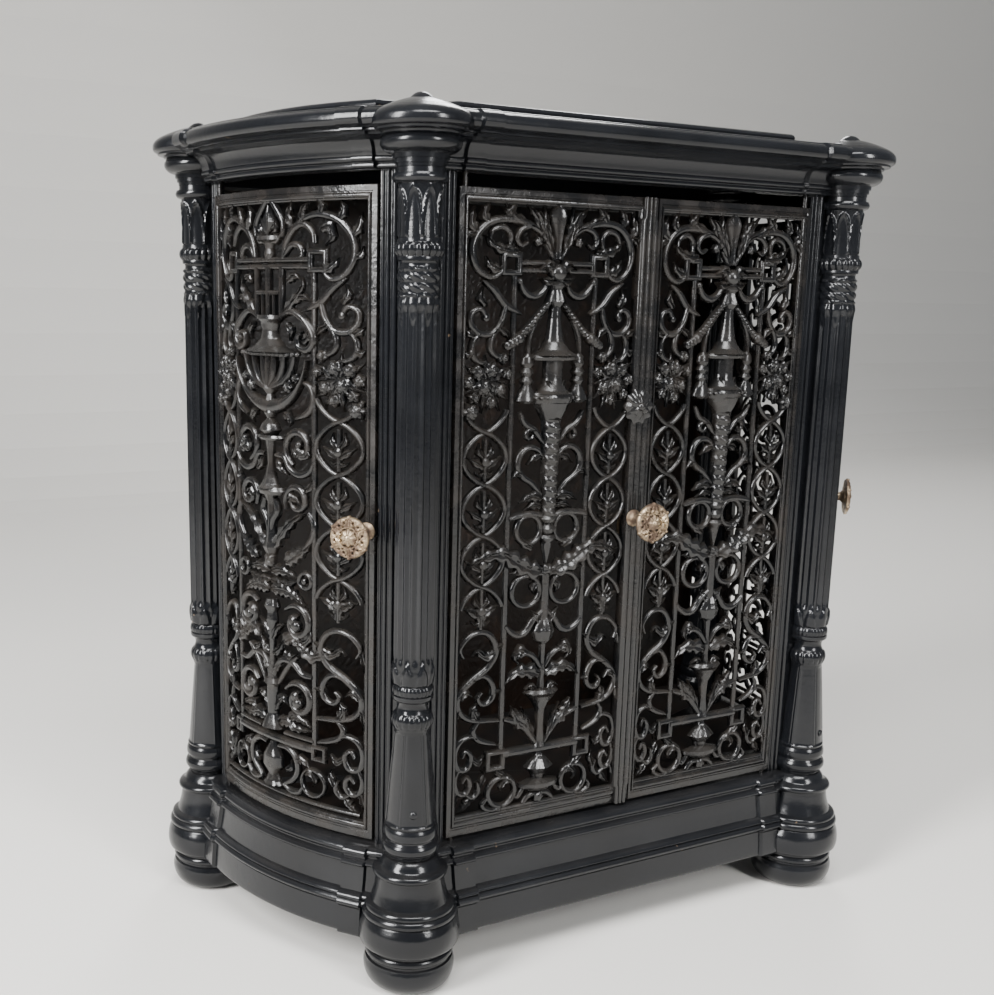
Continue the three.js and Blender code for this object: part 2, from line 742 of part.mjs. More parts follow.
for ( const [ side, sign ] of Object.entries( SIDES ) ) {

	const front = node( `front_${ side }_door`, frontDoor( side ), enamel() );
	front.rotation.x = Math.PI / 2;
	front.position.set( side === 'left' ? - frontEdge : MEETING_X + MEETING_GAP, FRONT_Y - DOOR_FACE, DOOR_BOTTOM );
	group.add( front, node( `${ side }_side_door`, sideDoor( side ), enamel() ) );
	const pull = node( `${ side }_side_knob`, knob( SEAT_GAP ), gilt() );
	const seat = sidePoint( knobAngle, DOOR_FACE );
	pull.position.set( - sign * seat.x, seat.y, KNOB_HEIGHT );
	const out = sidePoint( knobAngle, 1 ).sub( sidePoint( knobAngle, 0 ) );
	faceOut( pull, new THREE.Vector3( - sign * out.x, out.y, 0 ) );
	group.add( pull );

}

const frontPull = node( 'front_knob', knob( STRIP_RISE + SEAT_GAP ), gilt() );
frontPull.position.set( FRONT_KNOB_X, FRONT_Y - DOOR_FACE, KNOB_HEIGHT );
faceOut( frontPull, new THREE.Vector3( 0, - 1, 0 ) );
group.add( frontPull );

export default group;
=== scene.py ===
"""Cast iron fireplace cabinet: bowed sides, fluted columns, moulded base and cornice, openwork doors."""

import math

import bpy
import numpy as np
from mathutils import Matrix, Vector


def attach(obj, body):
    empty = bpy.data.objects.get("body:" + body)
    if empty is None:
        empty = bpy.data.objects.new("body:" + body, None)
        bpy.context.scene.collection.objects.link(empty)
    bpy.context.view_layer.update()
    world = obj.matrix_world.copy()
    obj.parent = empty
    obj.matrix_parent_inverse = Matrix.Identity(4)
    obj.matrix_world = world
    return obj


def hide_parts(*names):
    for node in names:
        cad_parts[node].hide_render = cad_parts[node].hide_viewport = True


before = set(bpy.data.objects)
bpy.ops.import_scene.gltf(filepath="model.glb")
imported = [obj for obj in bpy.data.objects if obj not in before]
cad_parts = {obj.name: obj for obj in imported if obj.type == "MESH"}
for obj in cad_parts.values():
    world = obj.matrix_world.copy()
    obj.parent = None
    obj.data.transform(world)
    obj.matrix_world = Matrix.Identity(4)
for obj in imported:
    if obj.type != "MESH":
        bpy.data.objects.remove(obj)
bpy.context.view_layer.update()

bl_info = {
    "name": "Cast Iron Fireplace Cabinet",
    "version": (1, 0, 0),
    "blender": (4, 5, 0),
    "location": "3D View > Sidebar > Fire Cabinet",
    "description": "Builds a cast iron fireplace cabinet with openwork doors",
    "category": "Object",
}

# Plan of the cabinet at the column axes, in millimetres
FRONT_SPACING = 560.0
BACK_SPACING = 788.0
FRONT_Y = -148.5
BACK_Y = 173.5
BACK_PLANE = 203.5
SIDE_SWEEP = math.radians(54.0)
SILL = 146.0
DOOR_BOTTOM = 150.0
DOOR_TOP = 836.0
CORNICE_BOTTOM = 849.0
DOOR_FACE = -5.0
SEAT_GAP = 0.3
KNOB_HEIGHT = 491.0
KNOB_INSET = 9.0
FRONT_KNOB_X = -5.0
FRONT_LEAF_END = 234.0
MEETING_X = 12.9
LEFT_LEAF = 246.3
RIGHT_LEAF = 221.1
SIDE_WIDTH = 259.1
SIDE_MIDDLE = 116.0
PLATE_FACE = 194.5
WING_REACH = 44.5
WING_FACE = -9.0
WING_BACK = -17.0
DOOR_GAP = 1.5
# Rails and pins of the leaves
FOOT_RAIL = 18.0
HEAD_RAIL = 14.0
PIN_INSET = 8.0
PIN_OUT = -4.0
PIN_BOTTOM = 138.0
PIN_TOP = 857.0
# Inner faces at the back, and how far drums and domes stay in front of the back plane
BASE_WALL = 8.0
CORNICE_REAR = 16.0
BACK_CLEAR = 0.3
# Width of the enamelled rim round the bare floor
BARE_MARGIN = 18.5
TURNED_SIDES = 72
SHARP_ANGLE = math.radians(38)
LEFT_SIDE = -1
RIGHT_SIDE = 1

front_axis = np.array([-FRONT_SPACING / 2, FRONT_Y])
back_axis = np.array([-BACK_SPACING / 2, BACK_Y])
side_chord = float(np.hypot(*(front_axis - back_axis)))
side_forward = (front_axis - back_axis) / side_chord
side_outward = np.array([side_forward[1], -side_forward[0]])
SIDE_RADIUS = side_chord / (2 * math.sin(SIDE_SWEEP / 2))
side_centre = (front_axis + back_axis) / 2 - side_outward * SIDE_RADIUS * math.cos(SIDE_SWEEP / 2)
SIDE_DOOR_END = SIDE_SWEEP / 2 - (WING_REACH + DOOR_GAP) / SIDE_RADIUS
FACE_RADIUS = SIDE_RADIUS + DOOR_FACE


def through(points, steps):
    """Smooth curve through the points: each stretch is the cubic whose slope at a point is half the step
    between its two neighbours. The result is spaced evenly along its length."""
    given = np.asarray(points, float)
    padded = np.vstack([2 * given[0] - given[1], given, 2 * given[-1] - given[-2]])
    place = np.linspace(0, len(given) - 1, 8 * len(given) + 1)
    first = np.minimum(place.astype(int), len(given) - 2)
    share = (place - first)[:, None]
    a, b, c, d = (padded[first + k] for k in range(4))
    curve = 0.5 * (
        2 * b + (c - a) * share + (2 * a - 5 * b + 4 * c - d) * share**2 + (3 * b - 3 * c + d - a) * share**3
    )
    return evenly(curve, steps)


def evenly(curve, steps):
    """The same line, with points at equal distances along it."""
    run = np.concatenate([[0.0], np.cumsum(np.hypot(*np.diff(curve, axis=0).T[:2]))])
    wanted = np.linspace(0, run[-1], steps)
    return np.stack([np.interp(wanted, run, column) for column in curve.T], axis=1)


def coil(x, h, radius, end_radius, start, turn, steps=9):
    """Points of a spiral about (x, h): the radius runs from one value to the other as the angle goes
    from start through turn, both in degrees."""
    angle = np.radians(start + turn * np.linspace(0, 1, steps))
    reach = np.linspace(radius, end_radius, steps)
    return np.stack([x + reach * np.cos(angle), h + reach * np.sin(angle)], axis=1)


def grid_faces(rows, columns, wrap_rows=False, wrap_columns=True):
    """Quads of a grid of points, row after row; a wrapped direction closes on itself."""
    r = np.arange(rows if wrap_rows else rows - 1)
    c = np.arange(columns if wrap_columns else columns - 1)
    row, column = (part.ravel() for part in np.meshgrid(r, c, indexing="ij"))
    below, beside = (row + 1) % rows, (column + 1) % columns
    return np.stack(
        [row * columns + column, row * columns + beside, below * columns + beside, below * columns + column],
        axis=1
    )


def fan(pole, ring, inward=False):
    """Triangles from one pole to a closed ring of points."""
    after = np.roll(ring, -1)
    middle = np.full(len(ring), pole)
    return np.stack([middle, after, ring] if inward else [middle, ring, after], axis=1)


class Shape:
    """Points and faces of one piece, gathered from many closed surfaces."""

    def __init__(self):
        self.points, self.quads, self.tris, self.count = [], [], [], 0

    def add(self, points, quads, tris=None):
        """Takes in one surface; its faces count points from where the shape's own points end."""
        self.points.append(points)
        self.quads.append(quads + self.count)
        if tris is not None and len(tris):
            self.tris.append(tris + self.count)
        self.count += len(points)

    def mirrored(self):
        """The same shape with x turned to -x and its faces turned round, so they still point out."""
        other = Shape()
        other.points = [p * np.array([-1.0, 1.0, 1.0]) for p in self.points]
        other.quads = [q[:, ::-1] for q in self.quads]
        other.tris = [t[:, ::-1] for t in self.tris]
        other.count = self.count
        return other

    def merge(self, other):
        """Takes in all surfaces of another shape, with their faces counted on in the same way."""
        self.points += other.points
        self.quads += [q + self.count for q in other.quads]
        self.tris += [t + self.count for t in other.tris]
        self.count += other.count

    def moved(self, place):
        """Every point through a function of the point array."""
        self.points = [place(p) for p in self.points]
        return self


# How much wider than drawn the scrolls, leaves and bars are cast
SCROLL_WEIGHT = 1.7
LEAF_WEIGHT = 1.65
BAR_WEIGHT = 1.7

# Cross sections as (across, rise), both as shares: flat back, rounded or ridged front
ROUND = np.array(
    [(-1, 0), (-1, 0.3), (-0.72, 0.8), (-0.25, 1), (0.25, 1), (0.72, 0.8), (1, 0.3), (1, 0)], float
)
LEAF = np.array(
    [
        (-1, 0), (-1, 0.35), (-0.8, 0.8), (-0.45, 0.95), (-0.1, 0.62), (0.1, 0.62), (0.45, 0.95),
        (0.8, 0.8), (1, 0.35), (1, 0)
    ],
    float,
)
DOMED = np.array([(math.cos(a), math.sin(a)) for a in np.linspace(math.pi, 0, 13)])


def ribbon(shape, spine, half, rise, back=-6.0, section=ROUND, swell=None):
    """Bar that follows a line in the face. At each point of the line the section is stretched to the half
    width across it and from the back to the rise, and both ends close on a point. swell multiplies the
    rise of each section point."""
    steps = len(spine)
    half = np.broadcast_to(np.asarray(half, float), steps)
    rise = np.broadcast_to(np.asarray(rise, float), steps)
    run = np.gradient(spine, axis=0)
    run /= np.maximum(np.hypot(run[:, 0], run[:, 1]), 1e-9)[:, None]
    left = np.stack([-run[:, 1], run[:, 0]], axis=1)
    across = -section[:, 0] * half[:, None]
    lift = section[:, 1] * (rise - back)[:, None]
    if swell is not None:
        lift = lift * swell
    flat = spine[:, None, :] + left[:, None, :] * across[:, :, None]
    rings = np.concatenate([flat, (back + lift)[:, :, None]], axis=2)
    size = len(section)
    ends = rings[[0, -1]].mean(axis=1)
    points = np.vstack([rings.reshape(-1, 3), ends])
    quads = grid_faces(steps, size)
    first, last = np.arange(size), np.arange(size) + (steps - 1) * size
    tris = np.vstack([fan(steps * size, first, True), fan(steps * size + 1, last)])
    shape.add(points, quads, tris)


def hoop(
    shape, x, h, radius, half=2.1, rise=-0.5, back=-6.0, stretch=1.0, section=ROUND, steps=28, beads=0,
    turn=0.0
):
    """Ring in the face about (x, h): the section follows a circle, or an oval when stretched. Four steps
    give a square."""
    angle = math.radians(turn) + np.linspace(0, 2 * np.pi, steps, endpoint=False)
    out = np.stack([np.cos(angle), np.sin(angle) * stretch], axis=1)
    reach = radius + section[:, 0] * half
    flat = np.array([x, h]) + out[:, None, :] * reach[None, :, None]
    lift = np.broadcast_to(back + section[:, 1] * (rise - back), (steps, len(section)))
    if beads:
        lift = back + section[:, 1] * (rise - back) * (
            0.72 + 0.28 * np.abs(np.cos(beads * angle / 2))
        )[:, None]
    rings = np.concatenate([flat, lift[:, :, None]], axis=2)
    shape.add(rings.reshape(-1, 3), grid_faces(steps, len(section), wrap_rows=True))


def boss(shape, x, h, radius, rise, base=0.0, back=-6.0, petals=0, depth=0.25, turn=0.0, rings=5, around=20):
    """Round lump, or a flower. The outline is the radius times one plus depth times the cosine of petals
    turns, and the front falls from the rise at the middle to the base on a quarter wave."""
    angle = np.linspace(0, 2 * np.pi, around, endpoint=False)
    outline = radius * (1 + depth * np.cos(petals * (angle - math.radians(turn)))) if petals else radius
    share = np.linspace(0, 1, rings + 1)[1:]
    reach = share[:, None] * np.broadcast_to(outline, around)
    ripple = 1 - 0.35 * share[:, None] * (
        1 - np.cos(petals * (angle - math.radians(turn)))
    ) / 2 if petals else 1.0
    lift = base + (rise - base) * np.sqrt(np.maximum(1 - share[:, None] ** 2, 0)) * ripple + 0 * reach
    front = np.stack([x + reach * np.cos(angle), h + reach * np.sin(angle), lift], axis=2).reshape(-1, 3)
    rim = front[-around:].copy()
    rim[:, 2] = back
    points = np.vstack([front, rim, [[x, h, rise], [x, h, back]]])
    quads = grid_faces(rings + 1, around)[:, ::-1]
    pole, under = len(points) - 2, len(points) - 1
    tris = np.vstack([fan(pole, np.arange(around)), fan(under, np.arange(around) + rings * around, True)])
    shape.add(points, quads, tris)


def turned_relief(shape, x, profile, flat=0.7, base=-3.0, back=-6.0, lobes=0, depth=0.0, pitch=0.0, steps=5):
    """Half-round standing form about the upright line at x. The profile gives (half width, height); the front
    is half an ellipse, flattened, and may carry ribs that climb by one turn in each pitch."""
    outline = np.asarray(profile, float)
    place = np.linspace(0, len(outline) - 1, steps * (len(outline) - 1) + 1)
    half, heights = (np.interp(place, np.arange(len(outline)), column) for column in outline.T)
    angle = np.linspace(np.pi, 0, 13)
    section = np.stack([np.cos(angle), np.sin(angle)], axis=1)
    phase = lobes * angle[None, :]
    if pitch:
        phase = phase + 2 * np.pi * heights[:, None] / pitch
    swell = 1 + depth * np.cos(phase) * np.sin(angle)[None, :] ** 0.5
    spine = np.stack([np.full(len(heights), float(x)), heights], axis=1)
    ribbon(shape, spine, half, base + half * flat, back, section, swell)


def scroll(shape, points, wide=2.4, thin=1.4, rise=-0.5, steps=None, back=-6.0):
    """Tapering bar along a smooth curve through the points, widest in its middle third."""
    spine = through(points, 48)
    length = np.hypot(*np.diff(spine, axis=0).T).sum()
    spine = evenly(spine, steps or max(8, int(length / 3.4)))
    share = np.linspace(0, 1, len(spine))
    half = SCROLL_WEIGHT * (thin + (wide - thin) * np.sin(np.pi * share) ** 0.6)
    ribbon(shape, spine, half, rise, back)


def leaf(shape, points, width=6.0, lobes=4, rise=1.0, back=-6.0, steps=22, blunt=0.55):
    """Acanthus leaf along a curve: the half width follows a skewed half wave, nicked once for each lobe, and
    the front has a groove down its middle and a swelling for each lobe."""
    spine = evenly(through(points, 48), steps)
    share = np.linspace(0, 1, steps)
    body = np.sin(np.pi * share**blunt) ** 0.8
    nick = 0.78 + 0.22 * np.cos(2 * np.pi * lobes * share)
    half = np.maximum(LEAF_WEIGHT * width * body * nick, 0.6)
    height = rise - 2.4 * (1 - body) - 0.9 * (1 - nick)
    ribbon(shape, spine, half, height, back, LEAF)


def bar(shape, start, end, half=2.0, rise=-1.5, back=-6.0, section=ROUND):
    """Straight bar, with a step at least every 12 mm so that it can follow a bowed face."""
    steps = 2 + int(math.hypot(end[0] - start[0], end[1] - start[1]) / 12)
    spine = np.stack([np.linspace(a, b, steps) for a, b in zip(start, end)], axis=1)
    ribbon(shape, spine, BAR_WEIGHT * half, rise, back, section)


def rope(shape, points, half=3.8, end_half=5.4, pitch=5.0, rise=2.5):
    """Twisted cord: a bar whose crest is raised and lowered by a wave that runs aslant, one turn a pitch."""
    spine = through(points, 48)
    length = np.hypot(*np.diff(spine, axis=0).T).sum()
    spine = evenly(spine, int(length / 1.1))
    run = np.linspace(0, length, len(spine))
    swell = 0.86 + 0.14 * np.cos(2 * np.pi * run[:, None] / pitch + 2.2 * DOMED[None, :, 0])
    ribbon(shape, spine, np.linspace(half, end_half, len(spine)), rise, -6.0, DOMED, swell)


def square_ring(shape, x, h, outer=12.5, inner=5.8, rise=0.0):
    """Square frame with rounded bars, standing on its side."""
    half = (outer - inner) / 2
    hoop(shape, x, h, (inner + half) * math.sqrt(2), half * math.sqrt(2), rise, steps=4, turn=45)


def flower(shape, x, h, radius, petals=5, rise=2.5, turn=0.0):
    """Blossom: a lobed cup with a round button in it."""
    boss(
        shape, x, h, 1.2 * radius, rise, base=-2.0, petals=petals, depth=0.16, turn=turn, rings=4,
        around=4 * petals
    )
    boss(shape, x, h, 0.75 * radius, rise + 1.8, rise - 0.5, -2.0, petals, 0.14, turn + 36, 3, 4 * petals)
    boss(shape, x, h, 0.32 * radius, rise + 3.0, base=rise, back=-2.0, rings=3, around=10)


def fleur(shape, x, h, size=1.0):
    """Small cross of leaves inside a link of the chain."""
    bar(shape, (x, h - 23 * size), (x, h + 21 * size), 1.5, -0.8)
    for side in (-1, 1):
        leaf(
            shape,
            [(x, h - 10 * size), (x + side * 8 * size, h - 5 * size), (x + side * 19 * size, h + 2 * size)],
            3.2, 2, 0.4, steps=9
        )
        leaf(
            shape, [(x, h), (x + side * 7 * size, h + 8 * size), (x + side * 6 * size, h + 17 * size)], 2.8,
            2, 0.2, steps=9
        )
        leaf(
            shape,
            [(x, h - 16 * size), (x + side * 6 * size, h - 17 * size), (x + side * 11 * size, h - 13 * size)],
            2.4, 1, 0.0, steps=7
        )
    boss(shape, x, h - 3 * size, 4.4 * size, 1.2, around=12, rings=3)


def chain(shape, x, low, high, pitch, reach, node):
    """Two bars that cross again and again: each swings out by a sine of the height, one to each side, and
    they cross at the node height and at every pitch from it."""
    height = np.linspace(low, high, int((high - low) / 2.6))
    wave = np.sin(np.pi * (height - node) / pitch)
    swing = reach * np.sign(wave) * np.abs(wave) ** 0.7
    for side in (-1, 1):
        over = -0.4 + 0.9 * side * np.cos(np.pi * (height - node) / pitch)
        ribbon(shape, np.stack([x + side * swing, height], axis=1), 3.1, over)


def lane(shape, x, reach, node, pitch, flower_out=True):
    """Band between a bar and the stile: scrolls, a bunch of flowers, the chain with its crosses, a fleur,
    an S-scroll with leaves, and small rings at the foot. Sizes across are shares of the band's half width."""

    def at(points):
        return [(x + reach * across, height) for across, height in points]

    scroll(shape, at([(0.3, 746), (-0.25, 736), (-0.7, 722), (-1.35, 713)]), 2.5, 0.8)
    scroll(
        shape,
        at(
            [
                (-0.7, 722), (-0.55, 706), (-0.2, 694), (0.33, 693), (0.7, 702), (0.68, 714), (0.3, 718),
                (0.12, 710)
            ]
        )
    )
    boss(shape, *at([(0.14, 709)])[0], 3.4, 1.0, around=12, rings=3)
    leaf(shape, at([(0.1, 720), (0.35, 730), (0.25, 740)]), 3.6, 2, steps=10)
    scroll(shape, at([(-0.55, 706), (-0.2, 692), (-0.1, 680), (-0.3, 671), (-0.75, 668)]), 2.2, 1.0)
    scroll(shape, at([(0.33, 693), (0.6, 686), (0.65, 674), (0.4, 665), (0.0, 663)]), 2.2, 1.0)
    leaf(shape, at([(0.55, 690), (0.75, 693), (0.95, 698)]), 3.4, 2, steps=9)
    leaf(shape, at([(0.6, 676), (0.8, 672), (1.0, 676)]), 3.4, 2, steps=9)
    leaf(shape, at([(-0.3, 700), (-0.7, 694), (-0.95, 684)]), 3.0, 2, steps=9)
    for across, height, radius, petals in (
        (-0.62, 668, 5, 5), (-0.8, 652, 5, 5), (-0.15, 656, 7, 6), (0.42, 654, 6.5, 5), (0.78, 644, 6, 5),
        (0.15, 639, 7.5, 6), (-0.5, 636, 6, 5), (0.55, 628, 5.5, 5), (-0.15, 623, 5.5, 5),
    ):
        flower(shape, *at([(across, height)])[0], radius, petals, turn=40 * across)
    for tip in (
        (-1.0, 660), (-1.0, 640), (-0.95, 624), (0.1, 672), (0.95, 662), (1.0, 632), (0.85, 618),
        (-0.55, 614), (0.2, 612)
    ):
        middle = (tip[0] * 0.45, 645 + (tip[1] - 645) * 0.45)
        leaf(shape, at([(0.0, 645), middle, tip]), 4.0, 3, 0.5, steps=11)
    if flower_out:
        flower(shape, *at([(0.7, 614)])[0], 8.0, 6, 4.0)
    chain(shape, x, node - 3.42 * pitch, node + 0.42 * pitch, pitch, reach * 0.9, node)
    for link in range(4):
        fleur(shape, x, node - (link + 0.5) * pitch + (4 if link == 3 else 0), 1.0)
    foot = node - 3.42 * pitch
    for side in (-1, 1):
        leaf(
            shape,
            [(x, foot - 10), (x + side * reach * 0.35, foot - 3), (x + side * reach * 0.75, foot + 1)], 4.2,
            3, 0.8, steps=12
        )
    leaf(shape, [(x, foot - 22), (x, foot - 10), (x, foot + 3)], 4.4, 2, 1.0, steps=12)
    scroll(
        shape,
        at([(0.7, 352), (0.85, 362), (0.45, 375), (-0.1, 378), (-0.55, 370), (-0.72, 354), (-0.4, 338),
            (0.3, 325),
            (0.82, 311), (0.9, 297), (0.55, 284), (-0.05, 278), (-0.9, 275)]),
        2.5, 1.2,
    )
    scroll(
        shape,
        at([(0.3, 325), (-0.25, 328), (-0.62, 316), (-0.6, 302), (-0.2, 296), (0.05, 304), (-0.12, 310)]),
        2.2, 1.0
    )
    leaf(shape, at([(-0.68, 356), (-0.25, 350), (0.1, 357), (0.3, 352)]), 4.2, 3, steps=12)
    leaf(shape, at([(0.88, 305), (0.55, 312), (0.25, 306)]), 4.0, 2, steps=9)
    leaf(shape, at([(0.0, 278), (0.2, 289), (0.05, 300)]), 4.4, 3, steps=10)
    leaf(shape, at([(-0.72, 358), (-1.0, 362)]), 2.6, 1, steps=6)
    leaf(shape, at([(-0.6, 310), (-1.0, 309)]), 2.6, 1, steps=6)
    leaf(shape, at([(0.88, 360), (1.0, 348), (0.98, 336)]), 3.2, 2, steps=9)
    leaf(shape, at([(0.9, 297), (1.0, 285), (0.95, 272)]), 3.2, 2, steps=9)
    scroll(shape, at([(-0.05, 278), (0.2, 268), (0.05, 258), (-0.35, 252), (-0.8, 248)]), 2.2, 1.0)
    scroll(
        shape,
        at(
            [
                (0.05, 258), (0.35, 262), (0.8, 256), (0.98, 240), (0.8, 226), (0.42, 225), (0.25, 238),
                (0.5, 246), (0.66, 239)
            ]
        ),
        2.3, 1.2
    )
    leaf(shape, at([(0.25, 236), (-0.05, 230), (-0.3, 238)]), 3.4, 2, steps=9)
    scroll(
        shape,
        at([(0.8, 226), (0.95, 214), (0.85, 200), (0.5, 196), (0.28, 206), (0.45, 216), (0.65, 210)]), 2.3,
        1.2
    )
    scroll(shape, at([(0.5, 196), (0.15, 190), (-0.1, 198), (0.0, 208)]), 2.1, 1.0)
    leaf(shape, at([(0.85, 200), (1.0, 190), (0.98, 178)]), 3.4, 2, steps=9)
    leaf(shape, at([(0.3, 192), (0.5, 183), (0.8, 177)]), 3.6, 3, steps=9)
    leaf(shape, at([(-0.1, 200), (-0.3, 214), (-0.2, 222)]), 3.0, 2, steps=9)


def front_half(shape, edge):
    """Right half of a front leaf, up to the frame at x = edge."""
    scroll(
        shape,
        [
            (4, 768), (12, 782), (22, 796), (40, 804), (62, 807), (82, 802), (95, 788), (98, 771),
            (91, 756), (78, 749), (67, 754), (66, 761)
        ],
        2.6, 1.4
    )
    scroll(shape, [(22, 796), (30, 801), (44, 798), (50, 788), (44, 781), (37, 785)], 2.0, 1.0)
    boss(shape, 25, 786, 4.5, 2.0, petals=5, depth=0.15)
    scroll(shape, [(58, 779), (57, 792), (66, 799), (77, 795), (80, 787)], 2.0, 1.0)
    leaf(shape, [(48, 776), (60, 776), (74, 780), (86, 790)], 4.6, 4, 1.5)
    leaf(shape, [(66, 756), (78, 760), (84, 770)], 4.2, 3, 1.0, steps=12)
    leaf(shape, [(36, 803), (54, 811), (64, 823)], 3.6, 3, steps=12)
    leaf(shape, [(62, 807), (58, 815), (50, 823)], 3.8, 3, steps=12)
    leaf(shape, [(82, 802), (86, 812), (80, 823)], 3.8, 3, steps=12)
    leaf(shape, [(94, 792), (100, 803), (97, 818)], 4.2, 3, steps=12)
    leaf(shape, [(94, 792), (103, 790), (106, 780)], 3.2, 2, steps=9)
    leaf(shape, [(12, 782), (22, 810), (34, 818)], 4.4, 4, 2.0, steps=14)
    leaf(shape, [(8, 776), (15, 800), (18, 822)], 4.4, 4, 2.5, steps=14)
    leaf(shape, [(22, 796), (27, 810), (38, 822)], 3.4, 3, 0.5, steps=12)
    for height in (764.5, 757.0):
        bar(shape, (6, height), (46, height), 1.8, -0.5)
    square_ring(shape, 55, 763)
    bar(shape, (50, 756), (50, 238), 1.9, -2.0)
    leaf(shape, [(3, 753), (12, 762), (23, 758)], 5.2, 2, 5.0, steps=12)
    leaf(shape, [(3, 748), (12, 746), (21, 750)], 4.0, 2, 4.0, steps=10)
    scroll(shape, [(12, 744), (18, 735), (28, 731), (38, 735), (45, 745)], 2.6, 1.4, 0.5)
    boss(shape, 46, 746, 3.4, 2.0, around=12, rings=3)
    rope(shape, [(9, 724), (22, 710), (34, 697), (46, 687)])
    for k in range(4):
        boss(shape, 45 + 4.2 * k, 688 - 2.4 * k, 6.2 - 0.6 * k, 3.8 - 0.6 * k, around=10, rings=3)
    scroll(shape, [(13, 721), (24, 705), (31, 689), (32, 672)], 1.9, 1.3)
    turned_relief(
        shape, 32,
        [
            (3, 673), (7, 669), (8.4, 662), (5.4, 658), (9, 653), (5.4, 649), (9, 644), (5.4, 640),
            (10, 633), (14, 624), (9, 621)
        ],
        0.55
    )
    scroll(shape, [(9, 578), (20, 592), (33, 600), (40, 612)], 2.3, 1.0)
    scroll(shape, [(20, 592), (29, 593), (31, 586), (25, 583), (23, 588)], 1.8, 1.0)
    scroll(
        shape, [(8, 562), (16, 572), (28, 574), (38, 566), (40, 553), (33, 543), (22, 536), (10, 523)], 2.3,
        1.4
    )
    leaf(shape, [(9, 566), (20, 563), (29, 556)], 3.4, 2, steps=10)
    leaf(shape, [(34, 544), (42, 547), (49, 541)], 3.0, 2, steps=9)
    leaf(shape, [(8, 519), (22, 522), (37, 515)], 4.4, 3, 1.0, steps=12)
    leaf(shape, [(9, 510), (20, 512), (31, 507)], 3.4, 2, 0.5, steps=10)
    scroll(shape, [(0, 497), (18, 503), (36, 502), (50, 499)], 2.4, 1.8, 0.5)
    hoop(shape, 24, 486, 15.5, 3.4)
    leaf(shape, [(18, 465), (28, 470), (36, 481)], 3.6, 2, steps=10)
    leaf(
        shape, [(1, 438), (20, 442), (38, 451), (54, 461), (74, 461), (90, 455), (98, 444)], 8.0, 7, 2.8,
        steps=44
    )
    leaf(shape, [(30, 447), (38, 440), (48, 440)], 3.4, 2, steps=10)
    hoop(shape, 25, 418, 18.0, 3.4, stretch=0.95)
    leaf(shape, [(9, 428), (16, 421), (13, 413)], 3.6, 2, 0.5, steps=9)
    scroll(shape, [(3, 394), (14, 384), (22, 373), (32, 369), (43, 374), (50, 382)], 2.6, 1.6)
    leaf(shape, [(5, 380), (12, 390), (18, 396)], 3.4, 2, 0.5, steps=9)
    scroll(shape, [(3, 330), (11, 342), (22, 348), (30, 344)], 2.2, 1.4)
    leaf(shape, [(20, 347), (30, 352), (35, 343), (30, 336)], 4.6, 3, 1.0, steps=12)
    leaf(shape, [(2, 321), (18, 327), (34, 327), (49, 315)], 6.4, 4, 1.0, steps=18)
    leaf(shape, [(6, 300), (14, 309), (22, 306)], 3.4, 2, 1.0, steps=9)
    scroll(shape, [(5, 241), (14, 254), (25, 266), (38, 272), (49, 275)], 2.6, 1.4)
    leaf(shape, [(20, 262), (31, 275), (39, 289)], 6.6, 4, 1.5, steps=14)
    leaf(shape, [(8, 245), (17, 268), (25, 286)], 3.6, 3, 0.5, steps=12)
    bar(shape, (0, 235), (50, 235), 3.2, 0.6)
    square_ring(shape, 57, 229)
    hoop(shape, 48, 191, 17.0, 3.4)
    leaf(shape, [(33, 200), (42, 204), (50, 196), (46, 190)], 3.8, 3, 0.8, steps=12)
    leaf(shape, [(57, 218), (50, 212), (40, 208)], 3.6, 2, steps=10)
    scroll(shape, [(20, 190), (27, 181), (33, 183)], 2.0, 1.2)
    scroll(shape, [(0, 181), (12, 180), (20, 172)], 2.4, 1.4)
    scroll(shape, [(48, 174), (60, 171), (72, 178), (66, 186)], 2.0, 1.0)
    bar(shape, (0, 170), (edge, 170), 1.6, -1.5)
    bar(shape, (0, 825), (edge, 825), 1.4, -2.0)


